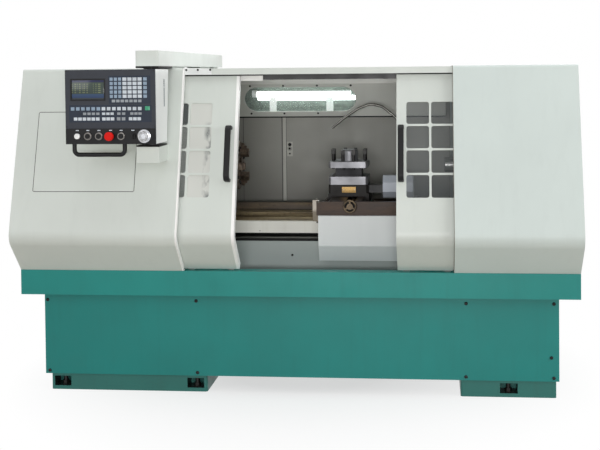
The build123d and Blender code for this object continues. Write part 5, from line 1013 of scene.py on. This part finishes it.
drain = {"x": 0.300, "z": 0.508, "radius": 0.019, "long": 0.034, "collar": 0.027, "root": 0.001,
         "collarLong": 0.006, "step": 0.007, "tip": 0.003}
radius, long, collar, root, tip = picked(drain, "radius long collar root tip")
turnedPiece("trayDrain", [(0, -root), (collar, -root), (collar, drain["collarLong"]), (radius, drain["step"]),
                          (radius, long - tip), (radius - tip, long), (0, long)],
            [(drain["x"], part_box("chip_tray")[1].y, drain["z"])], (0, 1, 0), 32, "zincSteel", "base")
for model in (screwModel, keyModel, markModel, louvreUp, louvreAcross):
    bpy.data.objects.remove(model)
print("back dressed")

# camera, fitted to the photograph
camera = bpy.data.cameras.new("photoCamera")
cameraObject = linked("photoCamera", camera)
viewing = {"place": (0.65045, -5.33387, 1.52615), "yaw": 5.16, "pitch": 1.49, "roll": -0.53,
           "focalPixels": 1042.07, "shiftPixels": (38.57, -125.54), "frame": 600}
yaw, pitch, roll = (math.radians(viewing[key]) for key in ("yaw", "pitch", "roll"))
forward = Vector((-math.sin(yaw) * math.cos(pitch), math.cos(yaw) * math.cos(pitch), -math.sin(pitch)))
right = Vector((math.cos(yaw), math.sin(yaw), 0))
upward = right.cross(forward)
rolledRight = right * math.cos(roll) + upward * math.sin(roll)
rolledUp = upward * math.cos(roll) - right * math.sin(roll)
turning = Matrix((rolledRight, rolledUp, -forward)).transposed().to_4x4()
cameraObject.matrix_world = Matrix.Translation(viewing["place"]) @ turning
camera.sensor_width = 36
camera.lens = camera.sensor_width * viewing["focalPixels"] / viewing["frame"]
camera.shift_x = -viewing["shiftPixels"][0] / viewing["frame"]
camera.shift_y = viewing["shiftPixels"][1] / viewing["frame"]
camera.clip_end = 100
scene.camera = cameraObject
print("camera set")

# light: soft boxes on all sides and an even surround
softBoxes = {
    "rightBox": {"place": (5.0, -2.4, 2.8), "aim": (0.0, -0.3, 1.0), "size": (3.0, 3.0), "power": 104},
    "leftBox": {"place": (-3.6, -4.6, 2.6), "aim": (-0.2, -0.2, 0.9), "size": (3.0, 2.4), "power": 44},
    "frontBox": {"place": (0.45, -6.6, 1.25), "aim": (0.1, 0.2, 1.2), "size": (2.6, 0.7), "power": 108},
    "topBox": {"place": (0.0, -0.6, 5.2), "aim": (0.0, 0.0, 0.0), "size": (5.0, 3.0), "power": 84},
    "backBox": {"place": (1.5, 4.8, 3.2), "aim": (0.0, 0.0, 0.9), "size": (3.0, 3.0), "power": 84},
}
for name, box in softBoxes.items():
    light = bpy.data.lights.new(name, "AREA")
    light.shape = "RECTANGLE"
    light.size, light.size_y = box["size"]
    light.energy = box["power"]
    lightObject = linked(name, light)
    lightObject.location = box["place"]
    aim = Vector(box["aim"]) - Vector(box["place"])
    lightObject.rotation_euler = aim.to_track_quat("-Z", "Y").to_euler()


def seenDirectly(tree):
    # one where a ray comes from the camera, or through gloss or glass
    rays = tree.nodes.new("ShaderNodeLightPath").outputs
    direct = combined(rays["Is Camera Ray"], rays["Is Glossy Ray"], "MAXIMUM")
    return combined(direct, rays["Is Transmission Ray"], "MAXIMUM")


def chosen(amount, first, second, end):
    # the second surface where amount is one
    choose = amount.id_data.nodes.new("ShaderNodeMixShader")
    for socket, source in enumerate((amount, first.outputs[0], second.outputs[0])):
        wire(source, choose, socket)
    wire(choose.outputs[0], end, "Surface")


surround = {"ambient": 0.30, "shade": (0.95, 0.97, 1.0, 1.0)}
world = bpy.data.worlds.new("studio")
scene.world = world
world.use_nodes = True
air = world.node_tree
soft = air.nodes["Background"]
setInputs(soft, Color=surround["shade"], Strength=surround["ambient"])
white = air.nodes.new("ShaderNodeBackground")
setInputs(white, Color=(1, 1, 1, 1), Strength=1.0)
chosen(seenDirectly(air), soft, white, air.nodes["World Output"])

# floor: pale to the eye, a little darker to the light it throws back
floor = {"half": 14.0, "drop": 0.0005, "seen": (0.96, 0.96, 0.96, 1.0), "thrown": (0.47, 0.42, 0.36, 1.0),
         "clear": (0.4, 1.5), "least": 0.6}
matt, place = startFinish("floorFinish", roughness=0.9, Specular_IOR_Level=0.1)
ground = matt.id_data
wire(mixed(seenDirectly(ground), floor["thrown"], floor["seen"]), matt, "Base Color")
reach = ground.nodes.new("ShaderNodeVectorMath")
reach.operation = "LENGTH"
wire(place, reach, 0)
far = spread(reach.outputs["Value"], floor["least"], 1.0, *floor["clear"])
bright = ground.nodes.new("ShaderNodeEmission")
chosen(combined(far, seenDirectly(ground)), matt, bright, ground.nodes["Material Output"])
floorMesh = bpy.data.meshes.new("floor")
half, drop = picked(floor, "half drop")
floorCorners = [(x * half, y * half, -drop) for x, y in ((-1, -1), (1, -1), (1, 1), (-1, 1))]
floorMesh.from_pydata(floorCorners, [], [(0, 1, 2, 3)])
floorMesh.materials.append(bpy.data.materials["floorFinish"])
linked("floor", floorMesh)

scene.view_settings.view_transform = "Standard"
